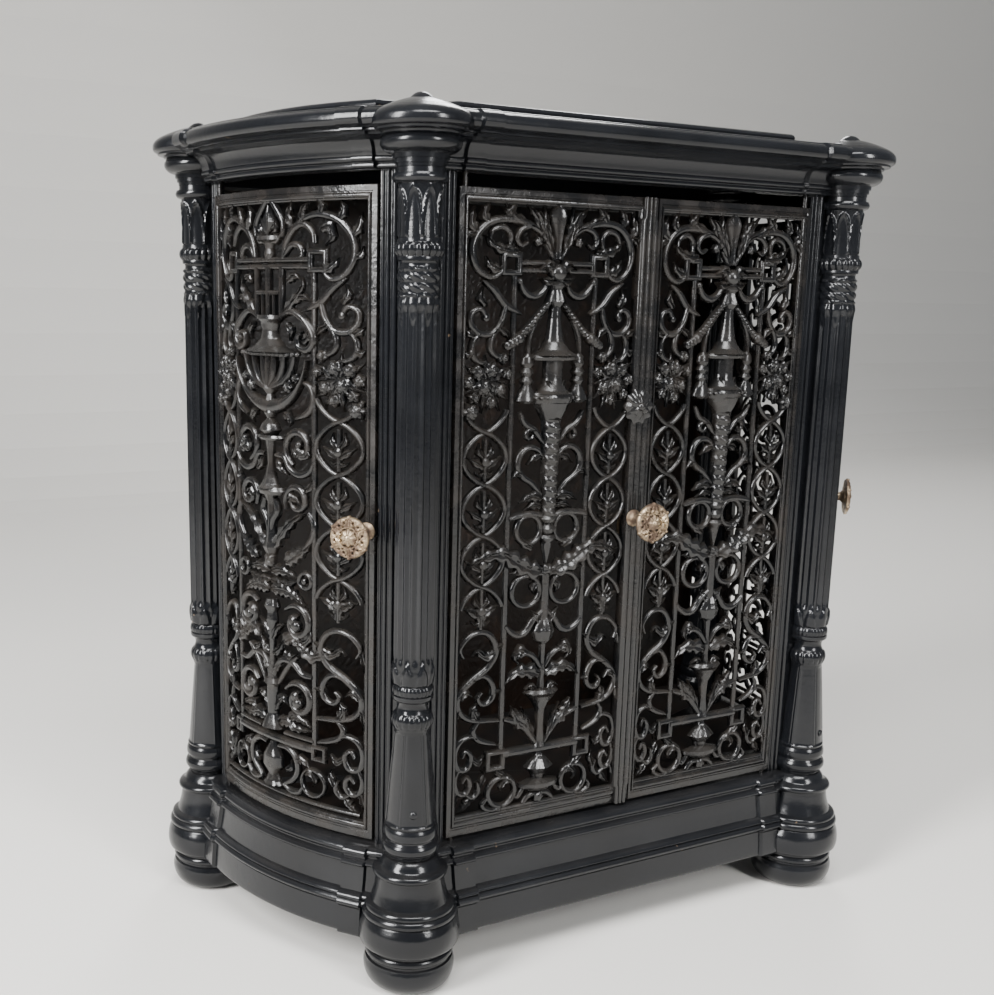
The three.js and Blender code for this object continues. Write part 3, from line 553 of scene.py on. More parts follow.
def front_middle(shape):
    """Torch down the middle of a front leaf: finial, bow, bell, collar, twisted stem, point, palmette,
    cup and vase."""
    turned_relief(
        shape, 0, [(5, 769), (6, 785), (9, 800), (12, 812), (9, 819), (2, 825)], 0.5, lobes=6, depth=0.14
    )
    boss(shape, 0, 755, 9.5, 8.0, rings=5)
    turned_relief(
        shape, 0, [(7, 747), (13, 742), (8, 738), (10, 733), (13, 726), (7, 720)], 0.7, lobes=7, depth=0.1
    )
    turned_relief(shape, 0, [(7, 721), (7.5, 708), (9, 696), (12, 685), (18, 676), (27, 671)], 0.8, steps=7)
    turned_relief(shape, 0, [(29, 671.5), (31, 669), (29, 666)], 0.4, base=0)
    turned_relief(shape, 0, [(12, 667), (12, 645), (14, 641), (19, 634), (24, 631)], 0.7)
    turned_relief(shape, 0, [(25, 632), (28, 626.5), (25, 621)], 0.4, base=0)
    for k in range(9):
        boss(shape, -25.5 + 6.4 * k, 627, 3.4, 11.5 - 0.2 * (k - 4) ** 2, back=-2, around=10, rings=3)
    for side in (-1, 0, 1):
        leaf(shape, [(side * 5, 632), (side * 7, 638), (side * 10, 645)], 4.4, 1, 8.0, steps=9)
    turned_relief(shape, 0, [(21, 621), (18, 613), (12, 603)], 0.7, lobes=9, depth=0.06)
    turned_relief(
        shape, 0, [(11.5, 604), (10, 560), (9, 500)], 0.85, base=-2, lobes=1, depth=0.13, pitch=11.5,
        steps=48
    )
    turned_relief(shape, 0, [(9, 501), (12, 497), (9, 493), (6, 491), (10, 486), (6, 479)], 0.8)
    turned_relief(shape, 0, [(9, 479), (11, 476), (9, 473), (6.5, 470), (4.5, 460), (1.2, 446)], 0.8)
    boss(shape, 0, 441, 6.5, 4.0, petals=4, depth=0.15, turn=45)
    bar(shape, (0, 440), (0, 384), 3.2, 0.5)
    turned_relief(shape, 0, [(5, 388), (11, 380), (15, 371), (12, 361), (4, 356)], 0.5, lobes=7, depth=0.12)
    turned_relief(shape, 0, [(4, 360), (3.2, 335), (4.4, 326), (3.2, 318), (4.4, 305)], 0.8)
    turned_relief(shape, 0, [(19, 305), (23, 301.5), (19, 298)], 0.35, base=0)
    turned_relief(
        shape, 0, [(18, 298), (11, 290), (6, 281), (5, 262), (7, 243), (9, 238)], 0.7, lobes=7, depth=0.08
    )
    turned_relief(
        shape, 0, [(4, 232), (6, 227), (11, 223), (19, 214), (10, 206), (8, 200)], 0.6, lobes=7, depth=0.08
    )
    turned_relief(shape, 0, [(9, 200), (26, 196), (27, 192), (20, 188)], 0.35, base=0)
    boss(shape, 0, 177, 6, 2.0, petals=5, depth=0.12)


def side_half(shape):
    """Half of a bowed side leaf between its middle and its bar, with x above zero."""
    scroll(shape, [(21, 788), (22, 802), (11, 817), (0, 828)], 2.3, 1.4)
    leaf(shape, [(1, 785), (12, 786), (23, 794)], 4.4, 2, 1.0, steps=10)
    leaf(shape, [(3, 790), (12, 797), (11, 808)], 3.6, 2, 1.5, steps=10)
    scroll(shape, [(21, 763), (26, 780), (37, 795), (51, 800), (63, 792), (66, 780)], 2.4, 1.2)
    scroll(shape, [(24, 768), (34, 779), (46, 778), (50, 769), (43, 766)], 2.2, 1.0)
    leaf(shape, [(37, 795), (31, 810), (36, 823)], 4.0, 3, 1.0, steps=12)
    leaf(shape, [(51, 800), (50, 812), (58, 822)], 3.6, 3, 1.0, steps=12)
    scroll(
        shape,
        [(40, 799), (55, 806), (72, 809), (93, 802), (107, 786), (109, 766), (98, 749), (84, 745), (76, 752)],
        2.6, 1.4
    )
    leaf(shape, [(72, 792), (82, 797), (86, 786), (78, 778)], 4.6, 3, 1.2, steps=12)
    leaf(shape, [(76, 752), (86, 758), (94, 766)], 4.0, 3, 1.0, steps=12)
    leaf(shape, [(93, 802), (98, 812), (94, 822)], 3.6, 3, 1.0, steps=10)
    leaf(shape, [(107, 786), (114, 796), (116, 810)], 3.8, 3, 1.0, steps=10)
    leaf(shape, [(72, 809), (74, 817), (68, 824)], 3.4, 2, 1.0, steps=9)
    leaf(shape, [(109, 766), (116, 768), (118, 777)], 3.0, 2, 0.5, steps=8)
    for height in (764.5, 757.5):
        bar(shape, (0, height), (60, height), 1.8, -0.5)
    square_ring(shape, 69, 763)
    bar(shape, (64, 756), (64, 236), 2.0, -2.0)
    bar(shape, (20, 757), (20, 705), 1.8, 0.5)
    bar(shape, (9, 730), (9, 708), 1.3, 0.5)
    bar(shape, (0, 731), (19, 731), 1.8, 1.0)
    leaf(shape, [(22, 709), (36, 722), (50, 738), (49, 747)], 4.2, 4, 1.0, steps=16)
    leaf(shape, [(34, 720), (48, 727), (62, 723)], 3.6, 3, 0.5, steps=12)
    leaf(shape, [(28, 742), (38, 748), (48, 744)], 3.6, 3, 0.5, steps=12)
    scroll(
        shape,
        [(18, 706), (34, 712), (50, 705), (62, 692), (64, 682), (56, 673), (44, 677), (43, 687), (50, 690)],
        2.8, 1.4, 1.0
    )
    leaf(shape, [(60, 692), (54, 683), (46, 682)], 4.4, 3, 1.5, steps=12)
    leaf(shape, [(26, 700), (34, 692), (32, 682)], 3.4, 2, steps=10)
    for k in range(8):
        boss(shape, 3 + 6 * k, 668, 3.0, 7.0 - 0.08 * k * k, back=-2, around=10, rings=3)
    for start, reach in ((40, 34), (25, 21), (9, 8)):
        scroll(shape, [(start, 666), (reach, 651), (0.6 * start, 640), (0.15 * start, 632)], 2.6, 1.6, 2.5)
    flower(shape, 30, 634, 6.0, 5, 2.0)
    flower(shape, 41, 643, 4.5, 5, 1.5)
    angle = np.radians(np.linspace(-88, -6, 26))
    arc = np.stack([57 * np.cos(angle), 669 + 57 * np.sin(angle)], axis=1)
    ribbon(
        shape, np.vstack([[-2.0, 612.0], arc]), np.concatenate([[8.4], 1.6 + 7.0 * np.sin(-angle) ** 3]),
        3.0, -6.0, DOMED
    )
    scroll(shape, [(50, 640), (61, 634), (63, 620), (56, 608), (40, 601)], 2.4, 1.2)
    leaf(shape, [(22, 606), (32, 600), (30, 592)], 4.0, 3, 1.0, steps=10)
    scroll(shape, coil(43, 571, 21, 7, 250, -420, 12), 2.6, 1.4)
    leaf(shape, [(36, 562), (44, 566), (54, 562), (58, 572)], 5.2, 4, 1.5, steps=14)
    boss(shape, 45, 574, 4.0, 2.5, around=12, rings=3)
    scroll(shape, [(9, 560), (22, 559), (30, 547), (44, 541), (58, 546), (64, 556)], 2.4, 1.4)
    leaf(shape, [(12, 556), (18, 546), (28, 540)], 3.8, 3, 0.8, steps=10)
    scroll(shape, coil(40, 513, 18, 6, 215, -430, 12), 2.5, 1.3)
    leaf(shape, [(28, 512), (36, 516), (46, 511)], 4.4, 3, 1.2, steps=10)
    leaf(shape, [(52, 525), (60, 530), (64, 540)], 3.4, 2, 0.5, steps=9)
    leaf(shape, [(2, 453), (18, 474), (36, 491), (57, 502)], 5.4, 5, 2.5, steps=24)
    scroll(shape, [(57, 502), (64, 490), (61, 474), (50, 462)], 2.4, 1.4)
    scroll(shape, [(1, 474), (5, 489), (12, 499), (8, 512)], 2.6, 1.4, 1.5)
    leaf(shape, [(8, 457), (14, 470), (24, 478)], 3.8, 3, 1.0, steps=10)
    leaf(shape, [(22, 443), (40, 454), (62, 468)], 6.6, 5, 1.5, steps=18)
    leaf(shape, [(0, 431), (20, 434), (43, 428)], 4.8, 4, 1.5, steps=16)
    leaf(shape, [(0, 421), (22, 419), (43, 425)], 4.4, 4, 1.5, steps=16)
    hoop(shape, 52, 427, 8.5, 3.0)
    boss(shape, 52, 427, 3.2, 1.0, around=12, rings=3)
    leaf(shape, [(0, 411), (20, 413), (36, 409), (52, 399)], 6.4, 6, 2.0, steps=22)
    scroll(shape, coil(40, 378, 21, 7, 140, -430, 12), 2.8, 1.5, 0.5)
    boss(shape, 40, 375, 6.2, 3.5, rings=4)
    leaf(shape, [(60, 372), (54, 360), (40, 356), (26, 360)], 4.4, 5, 1.0, steps=16)
    leaf(shape, [(18, 352), (34, 361), (50, 349), (62, 352)], 6.0, 6, 1.5, steps=20)
    leaf(shape, [(46, 354), (60, 344), (76, 350), (88, 358)], 6.0, 5, 1.5, steps=20)
    scroll(shape, [(4, 308), (7, 322), (18, 332), (34, 331), (47, 321), (62, 320)], 2.6, 1.4)
    scroll(shape, [(10, 302), (20, 317), (31, 331), (42, 340)], 2.2, 1.2)
    leaf(shape, [(20, 342), (30, 338), (38, 342)], 3.6, 2, 0.5, steps=10)
    scroll(shape, coil(42, 290, 21, 7, 150, -430, 12), 2.8, 1.5, 0.5)
    boss(shape, 42, 287, 6.2, 3.5, rings=4)
    leaf(shape, [(8, 281), (18, 288), (27, 281)], 3.8, 3, 0.8, steps=10)
    leaf(shape, [(28, 262), (34, 270), (48, 268), (60, 262)], 4.4, 4, 1.0, steps=14)
    leaf(shape, [(8, 257), (24, 262), (40, 257), (62, 258)], 5.0, 6, 1.2, steps=22)
    bar(shape, (0, 237), (66, 237), 2.8, 0.0)
    bar(shape, (20, 247), (64, 247), 1.6, -1.0)
    square_ring(shape, 70, 234, 9.5, 4.5)
    scroll(shape, [(10, 229), (24, 230), (37, 222), (40, 206), (32, 194), (20, 186)], 2.6, 1.4)
    leaf(shape, [(38, 218), (48, 222), (58, 214)], 4.2, 3, 0.8, steps=12)
    hoop(shape, 62, 198, 15.5, 2.4)
    leaf(shape, [(50, 206), (58, 210), (66, 202), (62, 194)], 3.8, 3, 0.8, steps=12)
    leaf(shape, [(22, 203), (30, 208), (31, 218)], 3.4, 2, steps=9)
    scroll(shape, [(18, 186), (30, 180), (42, 182), (48, 190)], 2.2, 1.2)
    bar(shape, (0, 174), (118, 174), 1.6, -1.5)
    bar(shape, (0, 825), (118, 825), 1.4, -2.0)


def side_middle(shape):
    """Middle of a side leaf: palmette, lantern, urn, bowl, baluster, leafy stem, trunk and vase."""
    turned_relief(shape, 0, [(3, 786), (8, 796), (11, 803), (6, 811), (2, 820)], 0.5, lobes=6, depth=0.14)
    turned_relief(
        shape, 0, [(18, 789), (20, 785), (8, 782), (6, 776), (8, 771), (5, 764)], 0.5, lobes=5, depth=0.06
    )
    bar(shape, (0, 757), (0, 708), 2.0, 1.5)
    turned_relief(
        shape, 0, [(20, 708), (21, 704), (15, 700), (12, 692), (14, 684), (24, 676), (40, 670)], 0.5,
        lobes=11, depth=0.04
    )
    turned_relief(shape, 0, [(44, 670.5), (46, 668), (43, 665.5)], 0.12, base=0)
    scroll(shape, [(0, 665), (0, 650), (0, 634)], 2.6, 1.8, 3.0)
    turned_relief(shape, 0, [(4, 642), (9, 636), (11, 631), (5, 625), (7, 618)], 0.6, lobes=5, depth=0.1)
    turned_relief(shape, 0, [(5, 612), (9, 605), (5, 599), (12, 593), (15, 587), (8, 580)], 0.7)
    turned_relief(shape, 0, [(20, 581), (22, 578.5), (18, 576)], 0.3, base=0)
    turned_relief(
        shape, 0, [(7, 577), (5, 566), (4, 550), (8, 536), (12, 528), (16, 524)], 0.8, lobes=7, depth=0.08
    )
    turned_relief(shape, 0, [(20, 525), (24, 521), (20, 517)], 0.3, base=0)
    turned_relief(
        shape, 0, [(10, 517), (5, 508), (6, 490), (8, 470), (12, 458), (6, 448), (8, 440)], 0.7, lobes=7,
        depth=0.1
    )
    turned_relief(
        shape, 0, [(9, 399), (12, 391), (7, 385), (9, 374), (4.5, 362), (4, 345), (4.5, 330), (8, 308)],
        0.6, lobes=5, depth=0.12
    )
    for side in (-1, 1):
        leaf(shape, [(side * 2, 352), (side * 9, 366), (side * 22, 374)], 3.6, 3, 1.0, steps=12)
        leaf(shape, [(side * 2, 336), (side * 12, 342), (side * 20, 354)], 3.6, 3, 1.0, steps=12)
        leaf(shape, [(side * 2, 318), (side * 10, 322), (side * 16, 332)], 3.4, 3, 1.0, steps=12)
        leaf(shape, [(side * 3, 268), (side * 10, 280), (side * 18, 285)], 3.4, 3, 1.0, steps=12)
        boss(shape, side * 35, 380, 6.0, 2.5, around=14, rings=3)
        boss(shape, side * 38, 294, 6.0, 2.5, around=14, rings=3)
    turned_relief(
        shape, 0, [(12, 308), (14, 303), (9, 299), (9, 284), (8, 266), (15, 255), (17, 250)], 0.6, lobes=5,
        depth=0.08
    )
    turned_relief(
        shape, 0, [(5, 233), (7, 228), (15, 216), (16, 204), (8, 194), (12, 186), (16, 182)], 0.55, lobes=9,
        depth=0.06
    )
    boss(shape, 0, 443, 8.0, 4.5, petals=4, depth=0.15, turn=45)


def rail_frame(shape, width, low, high, widths, steps=1):
    """Frame of a leaf: a section of (inset, out) points, run round the rectangle with mitred corners. The
    inset is scaled to the left, right, bottom and top widths, and a bead stands along the inner edge."""
    left, right, bottom, top = widths
    section = np.array(
        [(0, -8), (0, -0.8), (0.05, 0), (0.42, 0), (0.46, -0.9), (0.54, -0.9), (0.6, 0.3), (0.68, 1.0),
         (0.78, 1.0),
         (0.86, 0.2), (0.9, -1.6), (1.0, -2.2), (1.0, -8)]
    )
    share = np.linspace(0, 1, steps + 1)[:-1]
    corner = np.array([(0, 0), (1, 0), (1, 1), (0, 1)], float)
    loop = np.concatenate([corner[k] + (corner[(k + 1) % 4] - corner[k]) * share[:, None] for k in range(4)])
    inset, out = section[:, 0], section[:, 1]
    x0, x1 = inset * left, width - inset * right
    h0, h1 = low + inset * bottom, high - inset * top
    across = x0 + loop[:, :1] * (x1 - x0)
    height = h0 + loop[:, 1:] * (h1 - h0)
    rings = np.stack([across, height, np.broadcast_to(out, across.shape)], axis=2)
    shape.add(rings.reshape(-1, 3), grid_faces(len(loop), len(section), wrap_rows=True)[:, ::-1])


def upright_pin(shape, x, out, low, high, radius=3.0):
    """Round pin along h through (x, out)."""
    angle = np.linspace(0, 2 * np.pi, 16, endpoint=False)
    rings = [
        np.stack([x + radius * np.cos(angle), np.full(16, h), out + radius * np.sin(angle)], axis=1)
        for h in (low, high)
    ]
    points = np.vstack(rings + [[[x, low, out], [x, high, out]]])
    quads = grid_faces(2, 16)[:, ::-1]
    tris = np.vstack([fan(32, np.arange(16)), fan(33, np.arange(16) + 16, True)])
    shape.add(points, quads, tris)


def strokes(*parts, fine=1.2):
    """Profile made of curves with sharp corners between them. Each part is a list of (across, height)
    points that one smooth curve passes through."""
    line = []
    for part in parts:
        points = np.asarray(part, float)
        length = np.hypot(*np.diff(points, axis=0).T).sum()
        line.append(through(points, max(2, int(length / fine))) if len(points) > 2 else points)
    return np.vstack(line)


def side_point(angle, offset):
    """Points of the left side: the arc about its centre, offset outwards, from the back column to the
    front."""
    reach = SIDE_RADIUS + offset
    cosine, sine = np.cos(angle) * reach, np.sin(angle) * reach
    return side_centre + cosine[..., None] * side_outward + sine[..., None] * side_forward


def side_angle(level, offset):
    """Angle at which the arc of an offset meets the line y = level."""
    rise = level - side_centre[1]
    across = -np.sqrt((SIDE_RADIUS + offset) ** 2 - rise**2)
    return np.arctan2(
        across * side_forward[0] + rise * side_forward[1], across * side_outward[0] + rise * side_outward[1]
    )


def plan_rings(profile, proud=0.0, near=48.0, far=73.0, back_plane=BACK_PLANE):
    """Closed lines round the plan, one for each (offset, height) of the profile: left arc, straight front,
    right arc, straight back. Between near and far from each column axis the line stands proud."""
    offset = profile[:, 0][:, None]
    ends = np.array([40.0, near - 1.8, near, far, far + 1.8, far + 5])
    between = np.linspace(far + 12, side_chord * 1.04 - far - 12, 44)
    run = np.concatenate([ends, between, SIDE_RADIUS * SIDE_SWEEP - ends[::-1]])
    lift = proud * np.array([0, 0, 1, 1, 0, 0])
    lifted = np.concatenate([lift, 0 * between, lift[::-1]])
    angle = np.broadcast_to(run / SIDE_RADIUS - SIDE_SWEEP / 2, (len(profile), len(run)))
    arc = side_point(angle, offset + lifted)
    first = side_point(side_angle(back_plane, offset), offset)
    last = side_point(side_angle(FRONT_Y - offset, offset), offset)
    left = np.concatenate([first, arc, last], axis=1)
    half = FRONT_SPACING / 2 - ends
    front_x = np.concatenate([-half, np.linspace(-half[-1] + 12, half[-1] - 12, 15), half[::-1]])
    front_lift = np.concatenate([lift, np.zeros(15), lift[::-1]])
    front_y = FRONT_Y - offset - front_lift
    front = np.stack([np.broadcast_to(front_x, front_y.shape), front_y], axis=2)
    right = left[:, ::-1] * np.array([-1.0, 1.0])
    flat = np.concatenate([left, front, right], axis=1)
    height = np.broadcast_to(profile[:, 1][:, None, None], flat.shape[:2] + (1,))
    return np.concatenate([flat, height], axis=2)


def add_rings(shape, rings, closed=False):
    """Skin over closed rings that go round anticlockwise from below upwards; the ends are closed on a middle
    point, or joined to each other."""
    rows, columns = rings.shape[:2]
    points = rings.reshape(-1, 3)
    quads = grid_faces(rows, columns, wrap_rows=closed)
    if closed:
        shape.add(points, quads)
        return
    ends = rings[[0, -1]].mean(axis=1)
    ring = np.arange(columns)
    tris = np.vstack([fan(rows * columns, ring, True), fan(rows * columns + 1, ring + (rows - 1) * columns)])
    shape.add(np.vstack([points, ends]), quads, tris)


def turned_form(shape, profile, x, y, around=64, change=None, flat_at=None):
    """Turned form about the upright line through (x, y). change gives what the radius gains at each
    (angle, height); flat_at cuts the form off at that y by drawing its points in to the plane."""
    angle = np.linspace(0, 2 * np.pi, around, endpoint=False)
    radius = np.broadcast_to(profile[:, 0][:, None], (len(profile), around))
    height = np.broadcast_to(profile[:, 1][:, None], radius.shape)
    if change is not None:
        radius = np.maximum(radius + change(angle[None, :], height, radius), 0.01)
    across, deep = x + radius * np.cos(angle), y + radius * np.sin(angle)
    if flat_at is not None:
        deep = np.minimum(deep, flat_at)
    add_rings(shape, np.stack([across, deep, height], axis=2))


def bump_row(angle, count, sharp=1.0):
    """Row of round bumps about an axis: the size of a cosine of the angle, raised to a power."""
    return np.abs(np.cos(count * angle / 2)) ** sharp


def window(height, low, high, soft=1.5):
    """One between two heights, falling to zero over the soft distance."""
    return np.clip((height - low) / soft, 0, 1) * np.clip((high - height) / soft, 0, 1)


def leaf_crown(angle, height, count, low, high, lift, turn=0.0, point=0.6):
    """Ring of upright leaves: each is raised where its share across is less than its half width, which
    narrows to the tip as a power of the height left. It swells as half an ellipse."""
    share = np.mod(angle * count / (2 * np.pi) + turn, 1.0) - 0.5
    rise = np.clip((height - low) / (high - low), 0, 1)
    half = 0.47 * (1 - rise) ** point
    swell = np.sqrt(np.clip(1 - (share / np.maximum(half, 0.02)) ** 2, 0, 1)) * window(height, low, high, 0.6)
    return lift * swell


def leaf_edges(angle, height, count, low, high, lift):
    """Raised edges of a ring of tall leaves that meet at the foot and close in a point at the top."""
    share = np.mod(angle * count / (2 * np.pi), 1.0) - 0.5
    rise = np.clip((height - low) / (high - low), 0, 1)
    half = 0.5 * np.sqrt(np.clip(1 - rise**2, 0, 1))
    return lift * np.exp(-(((half - np.abs(share)) / 0.085) ** 2)) * window(height, low - 2, high + 3, 2.0)


LOWER_COLUMN = strokes(
    [(26, 147), (27, 150.1), (29.5, 152.5)],
    [(29.5, 152.8), (31, 155.4), (31.2, 159.8), (29.5, 163.4)],
    [(28.3, 163.7), (27.2, 165.6), (27.6, 167.8)],
    [(28.4, 168), (29.6, 170.9), (29.4, 176.5), (27.8, 180.5)],
    [(27.0, 180.8), (27.8, 182.2), (28.0, 184)],
    [(28.0, 184), (23, 240.5), (18.8, 287)],
    [(19.2, 287.8), (20.5, 290.4)],
    [(20.6, 290.7), (22, 293.7), (22.4, 297.9), (21, 303), (18.6, 305.5)],
    [(18, 306), (16.6, 310.2), (16.4, 314), (17.6, 317.8)],
    [(18.8, 318.4), (21.6, 320.7), (21.8, 324.5)],
    [(20.8, 325.1), (22, 327.7), (22, 331.9), (20.6, 335.3)],
    [(19.6, 336), (20.2, 341.1), (21.2, 347.9), (20.9, 354)],
)
UPPER_COLUMN = strokes(
    [(20.0, 724), (19.2, 728)],
    [(19.0, 728.4), (19.2, 742), (19.8, 756)],
    [(19.4, 757), (18.6, 760), (19.6, 762.5)],
    [(21.4, 763), (21.8, 766)],
    [(21.6, 766.4), (24.2, 769.6), (25, 773.5), (24.2, 777.4), (21.8, 780)],
    [(21.6, 780.4), (21.2, 783.6)],
    [(20.2, 784.4), (20.0, 800), (20.2, 820), (21.4, 834)],
    [(22.4, 834.6), (26, 836), (27.8, 839.6), (26.4, 843.6)],
    [(23.8, 844), (23.6, 848.7)],
)
SHAFT = strokes([(20.9, 355), (20.8, 550), (20.2, 723)], fine=2.6)


def column_change(flutes, facing):
    """What the column's radius gains: flutes, leaves, beads and panels, each between its own heights."""

    def change(angle, height, radius):
        groove = (0.5 + 0.5 * np.cos(flutes * angle)) ** 0.75
        gain = -2.3 * groove * window(height, 359, 720, 5.0)
        leaves = angle - facing
        gain = gain + leaf_edges(leaves, height, 8, 786, 830, 1.9)
        gain = gain + leaf_crown(leaves, height, 8, 337, 358, 2.2, 0.0, 0.5)
        gain = gain + leaf_crown(leaves, -height, 8, -730, -702, 1.6, 0.0, 0.7)
        lumps = bump_row(leaves + height / 15.0, 9, 0.7) * np.abs(np.cos(np.pi * (height - 728) / 9.6)) ** 0.6
        gain = gain + 2.4 * lumps * window(height, 728, 757, 2.0)
        gain = gain - 2.4 * (1 - bump_row(angle, 18, 0.7)) * window(height, 766.4, 780, 1.0)
        gain = gain - 1.3 * (1 - bump_row(angle, 18, 0.6)) * window(height, 290, 305.5, 1.0)
        gain = gain - 1.0 * (1 - bump_row(angle, 26, 0.6)) * window(height, 324.5, 336, 0.8)
        panel = np.mod(angle - facing + np.pi / 6, np.pi / 3) - np.pi / 6
        facet = radius * (math.cos(np.pi / 6) / np.cos(panel) - 1) * 0.45
        line = np.exp(-(((np.abs(panel) - 0.44) / 0.03) ** 2))
        return gain + (facet - 0.7 * line) * window(height, 184, 286, 2.0)

    return change


DRUM = strokes(
    [(51, 48.2), (53.6, 50.5), (55, 59), (53.8, 70), (50.2, 79)],
    [(49.4, 79.6), (51.8, 82), (51.8, 85.4), (49.6, 88.4)],
    [(48.6, 88.8), (49.4, 91.6), (47.6, 94.8), (43.4, 96.8)],
    [(42.4, 97.4), (38.6, 110), (36.2, 124)],
    [(36.4, 125.4), (39.6, 127), (40.6, 130), (39.2, 132.8)],
    [(38, 133.6), (33.4, 136.6), (31, 141), (28.4, 144.4), (26.4, 146)],
)
FOOT = strokes(
    [(36, 0.1), (43.4, 5), (48, 13), (49.5, 23), (47.6, 31)],
    [(45.2, 32.2), (44.8, 34)],
    [(45.4, 34.4), (47.8, 36.6), (47.8, 40), (46, 42.6)],
    [(45.2, 43), (45.4, 47.7)],
)
DOME = strokes(
    [(24, 849.2), (24.2, 852.4)],
    [(25.8, 852.6), (26, 856.6)],
    [(27.6, 856.8), (28, 861)],
    [(28.6, 861.4), (34, 863), (38.4, 867), (39.6, 872), (37.6, 876.4)],
    [(36.6, 877), (40, 878.4), (40.4, 880)],
    [(42.6, 880.4), (46.6, 881.4), (47, 883.2)],
    [(48.4, 883.6), (51.4, 886), (52, 890), (50.6, 894.6), (45.6, 899.4), (37, 903.8)],
    [(37, 903.8), (28, 907.4), (19, 910.4), (12, 912.2)],
    [(12, 912.2), (9.6, 914.4), (6.2, 916.8), (2.2, 918)],
)
PLINTH = strokes(
    [(9, 48), (17.6, 48)],
    [(17.6, 48.2), (19.6, 50.4), (19.4, 60), (17.6, 80)],
    [(16.8, 80.6), (16.8, 82)],
    [(17.4, 82.2), (21.4, 84), (22, 87), (19.4, 90)],
    [(18.4, 90.4), (20.4, 92.6), (19, 95.6), (14, 98)],
    [(12.6, 98.4), (10, 112), (8, 125)],
    [(8.4, 126), (11.6, 127), (12.2, 129.4), (9.6, 131.6)],
    [(8.4, 132), (5.6, 133.6), (5.4, 135.4)],
    [(6, 135.6), (8, 138.4), (7, 142), (2, 145), (-4, 146)],
    [(-4, 146), (-18, 146), (-19, 146)],
)
UNDER_PLINTH = np.array([(-2, 138), (1, 98), (9, 80), (9, 48)], float)
CORNICE = strokes(
    [(-16, 849), (-4, 849)],
    [(-4, 849.1), (0.6, 850), (2.2, 852), (1.2, 854.6)],
    [(1.4, 855), (4.8, 856.6), (5.4, 859.2), (4.2, 861.2)],
    [(4.4, 861.6), (6.6, 869), (11.6, 875), (19, 877.8)],
    [(20, 878), (22.6, 878.6), (22.6, 880.6)],
    [(25, 880.8), (28, 881.4), (28, 883.6)],
    [(29.4, 883.8), (35.6, 886.4), (38, 891), (36.6, 897), (31, 901)],
    [(29.4, 901.2), (27.8, 902.6), (24, 903.4)],
    [(24, 903.4), (6, 904.8), (-10, 905), (-60, 905)],
)
CORNICE_INSIDE = np.array([(-60, 897), (-20, 897), (12, 893), (12, 887), (-16, 866)], float)


def places():
    """Name, side, x and y of each column axis."""
    for side, word in ((LEFT_SIDE, "left"), (RIGHT_SIDE, "right")):
        yield "front_" + word, side, side * FRONT_SPACING / 2, FRONT_Y
        yield "back_" + word, side, side * BACK_SPACING / 2, BACK_Y


def build_base(shape, proud):
    """Plinth round the hollow underside, with break blocks beside the drums, and the four drums."""
    inner = plan_rings(UNDER_PLINTH, back_plane=BACK_PLANE - BASE_WALL)
    outer = plan_rings(PLINTH[1:], proud)
    add_rings(shape, np.concatenate([inner, outer]))
    for _, _, x, y in places():
        turned_form(shape, DRUM, x, y, TURNED_SIDES, flat_at=BACK_PLANE - BACK_CLEAR)


def build_cornice(shape, proud):
    """Hollow cornice with break blocks beside the domes, and the four domes."""
    inner = plan_rings(CORNICE_INSIDE, back_plane=BACK_PLANE - CORNICE_REAR)
    outer = plan_rings(CORNICE, proud, near=46.0, far=68.0)
    add_rings(shape, np.concatenate([inner, outer]), closed=True)
    for _, _, x, y in places():
        turned_form(shape, DOME, x, y, TURNED_SIDES, flat_at=BACK_PLANE - BACK_CLEAR)


def cover_outline(inset, notch):
    """Plan of the cover: side arc, hollow round the front dome, front edge, the same mirrored, back edge. The
    hollows are arcs of the notch radius about the column axes."""

    def crossing(axis, end):
        angles = end * np.linspace(0.5, 1.1, 1201) * SIDE_SWEEP / 2
        gap = np.hypot(*(side_point(angles, -inset) - axis).T) - notch
        return angles[np.argmin(np.abs(gap[:1000]))]

    def hollow(axis, first, last):
        start, stop = (math.atan2(*(point - axis)[::-1]) for point in (first, last))
        turn = (stop - start + math.pi) % (2 * math.pi) - math.pi
        angle = start + turn * np.linspace(0, 1, 16)
        return axis + notch * np.stack([np.cos(angle), np.sin(angle)], axis=1)

    arc = side_point(np.linspace(crossing(back_axis, -1), crossing(front_axis, 1), 40), -inset)
    back_level = BACK_PLANE + 17.0 - inset
    front_end = front_axis + np.array([math.sqrt(notch**2 - inset**2), inset])
    back_rise = back_level - BACK_Y
    back_end = back_axis + np.array([math.sqrt(notch**2 - back_rise**2), back_rise])
    left = np.vstack([hollow(back_axis, back_end, arc[0]), arc[1:-1], hollow(front_axis, arc[-1], front_end)])
    return np.vstack([left, left[::-1] * np.array([-1.0, 1.0])])


# (inset from the column axes, radius of the corner hollows, height) up the edge of the cover
COVER_EDGE = (
    (26.0, 63.0, 905.3), (25.2, 62.2, 905.8), (25.0, 62.0, 908.5), (25.6, 62.6, 910.2), (28.0, 65.0, 910.8),
    (28.0, 65.0, 912.0), (27.4, 64.4, 914.5), (28.6, 65.6, 917.0), (31.4, 67.4, 918.6), (35.0, 68.0, 919.0),
)


def build_cover(shape):
    """Slab in two steps over the cornice, with its corners hollowed round the domes."""
    rings = []
    for inset, notch, height in COVER_EDGE:
        outline = cover_outline(inset, notch)
        rings.append(np.column_stack([outline, np.full(len(outline), height)]))
    add_rings(shape, np.stack(rings))


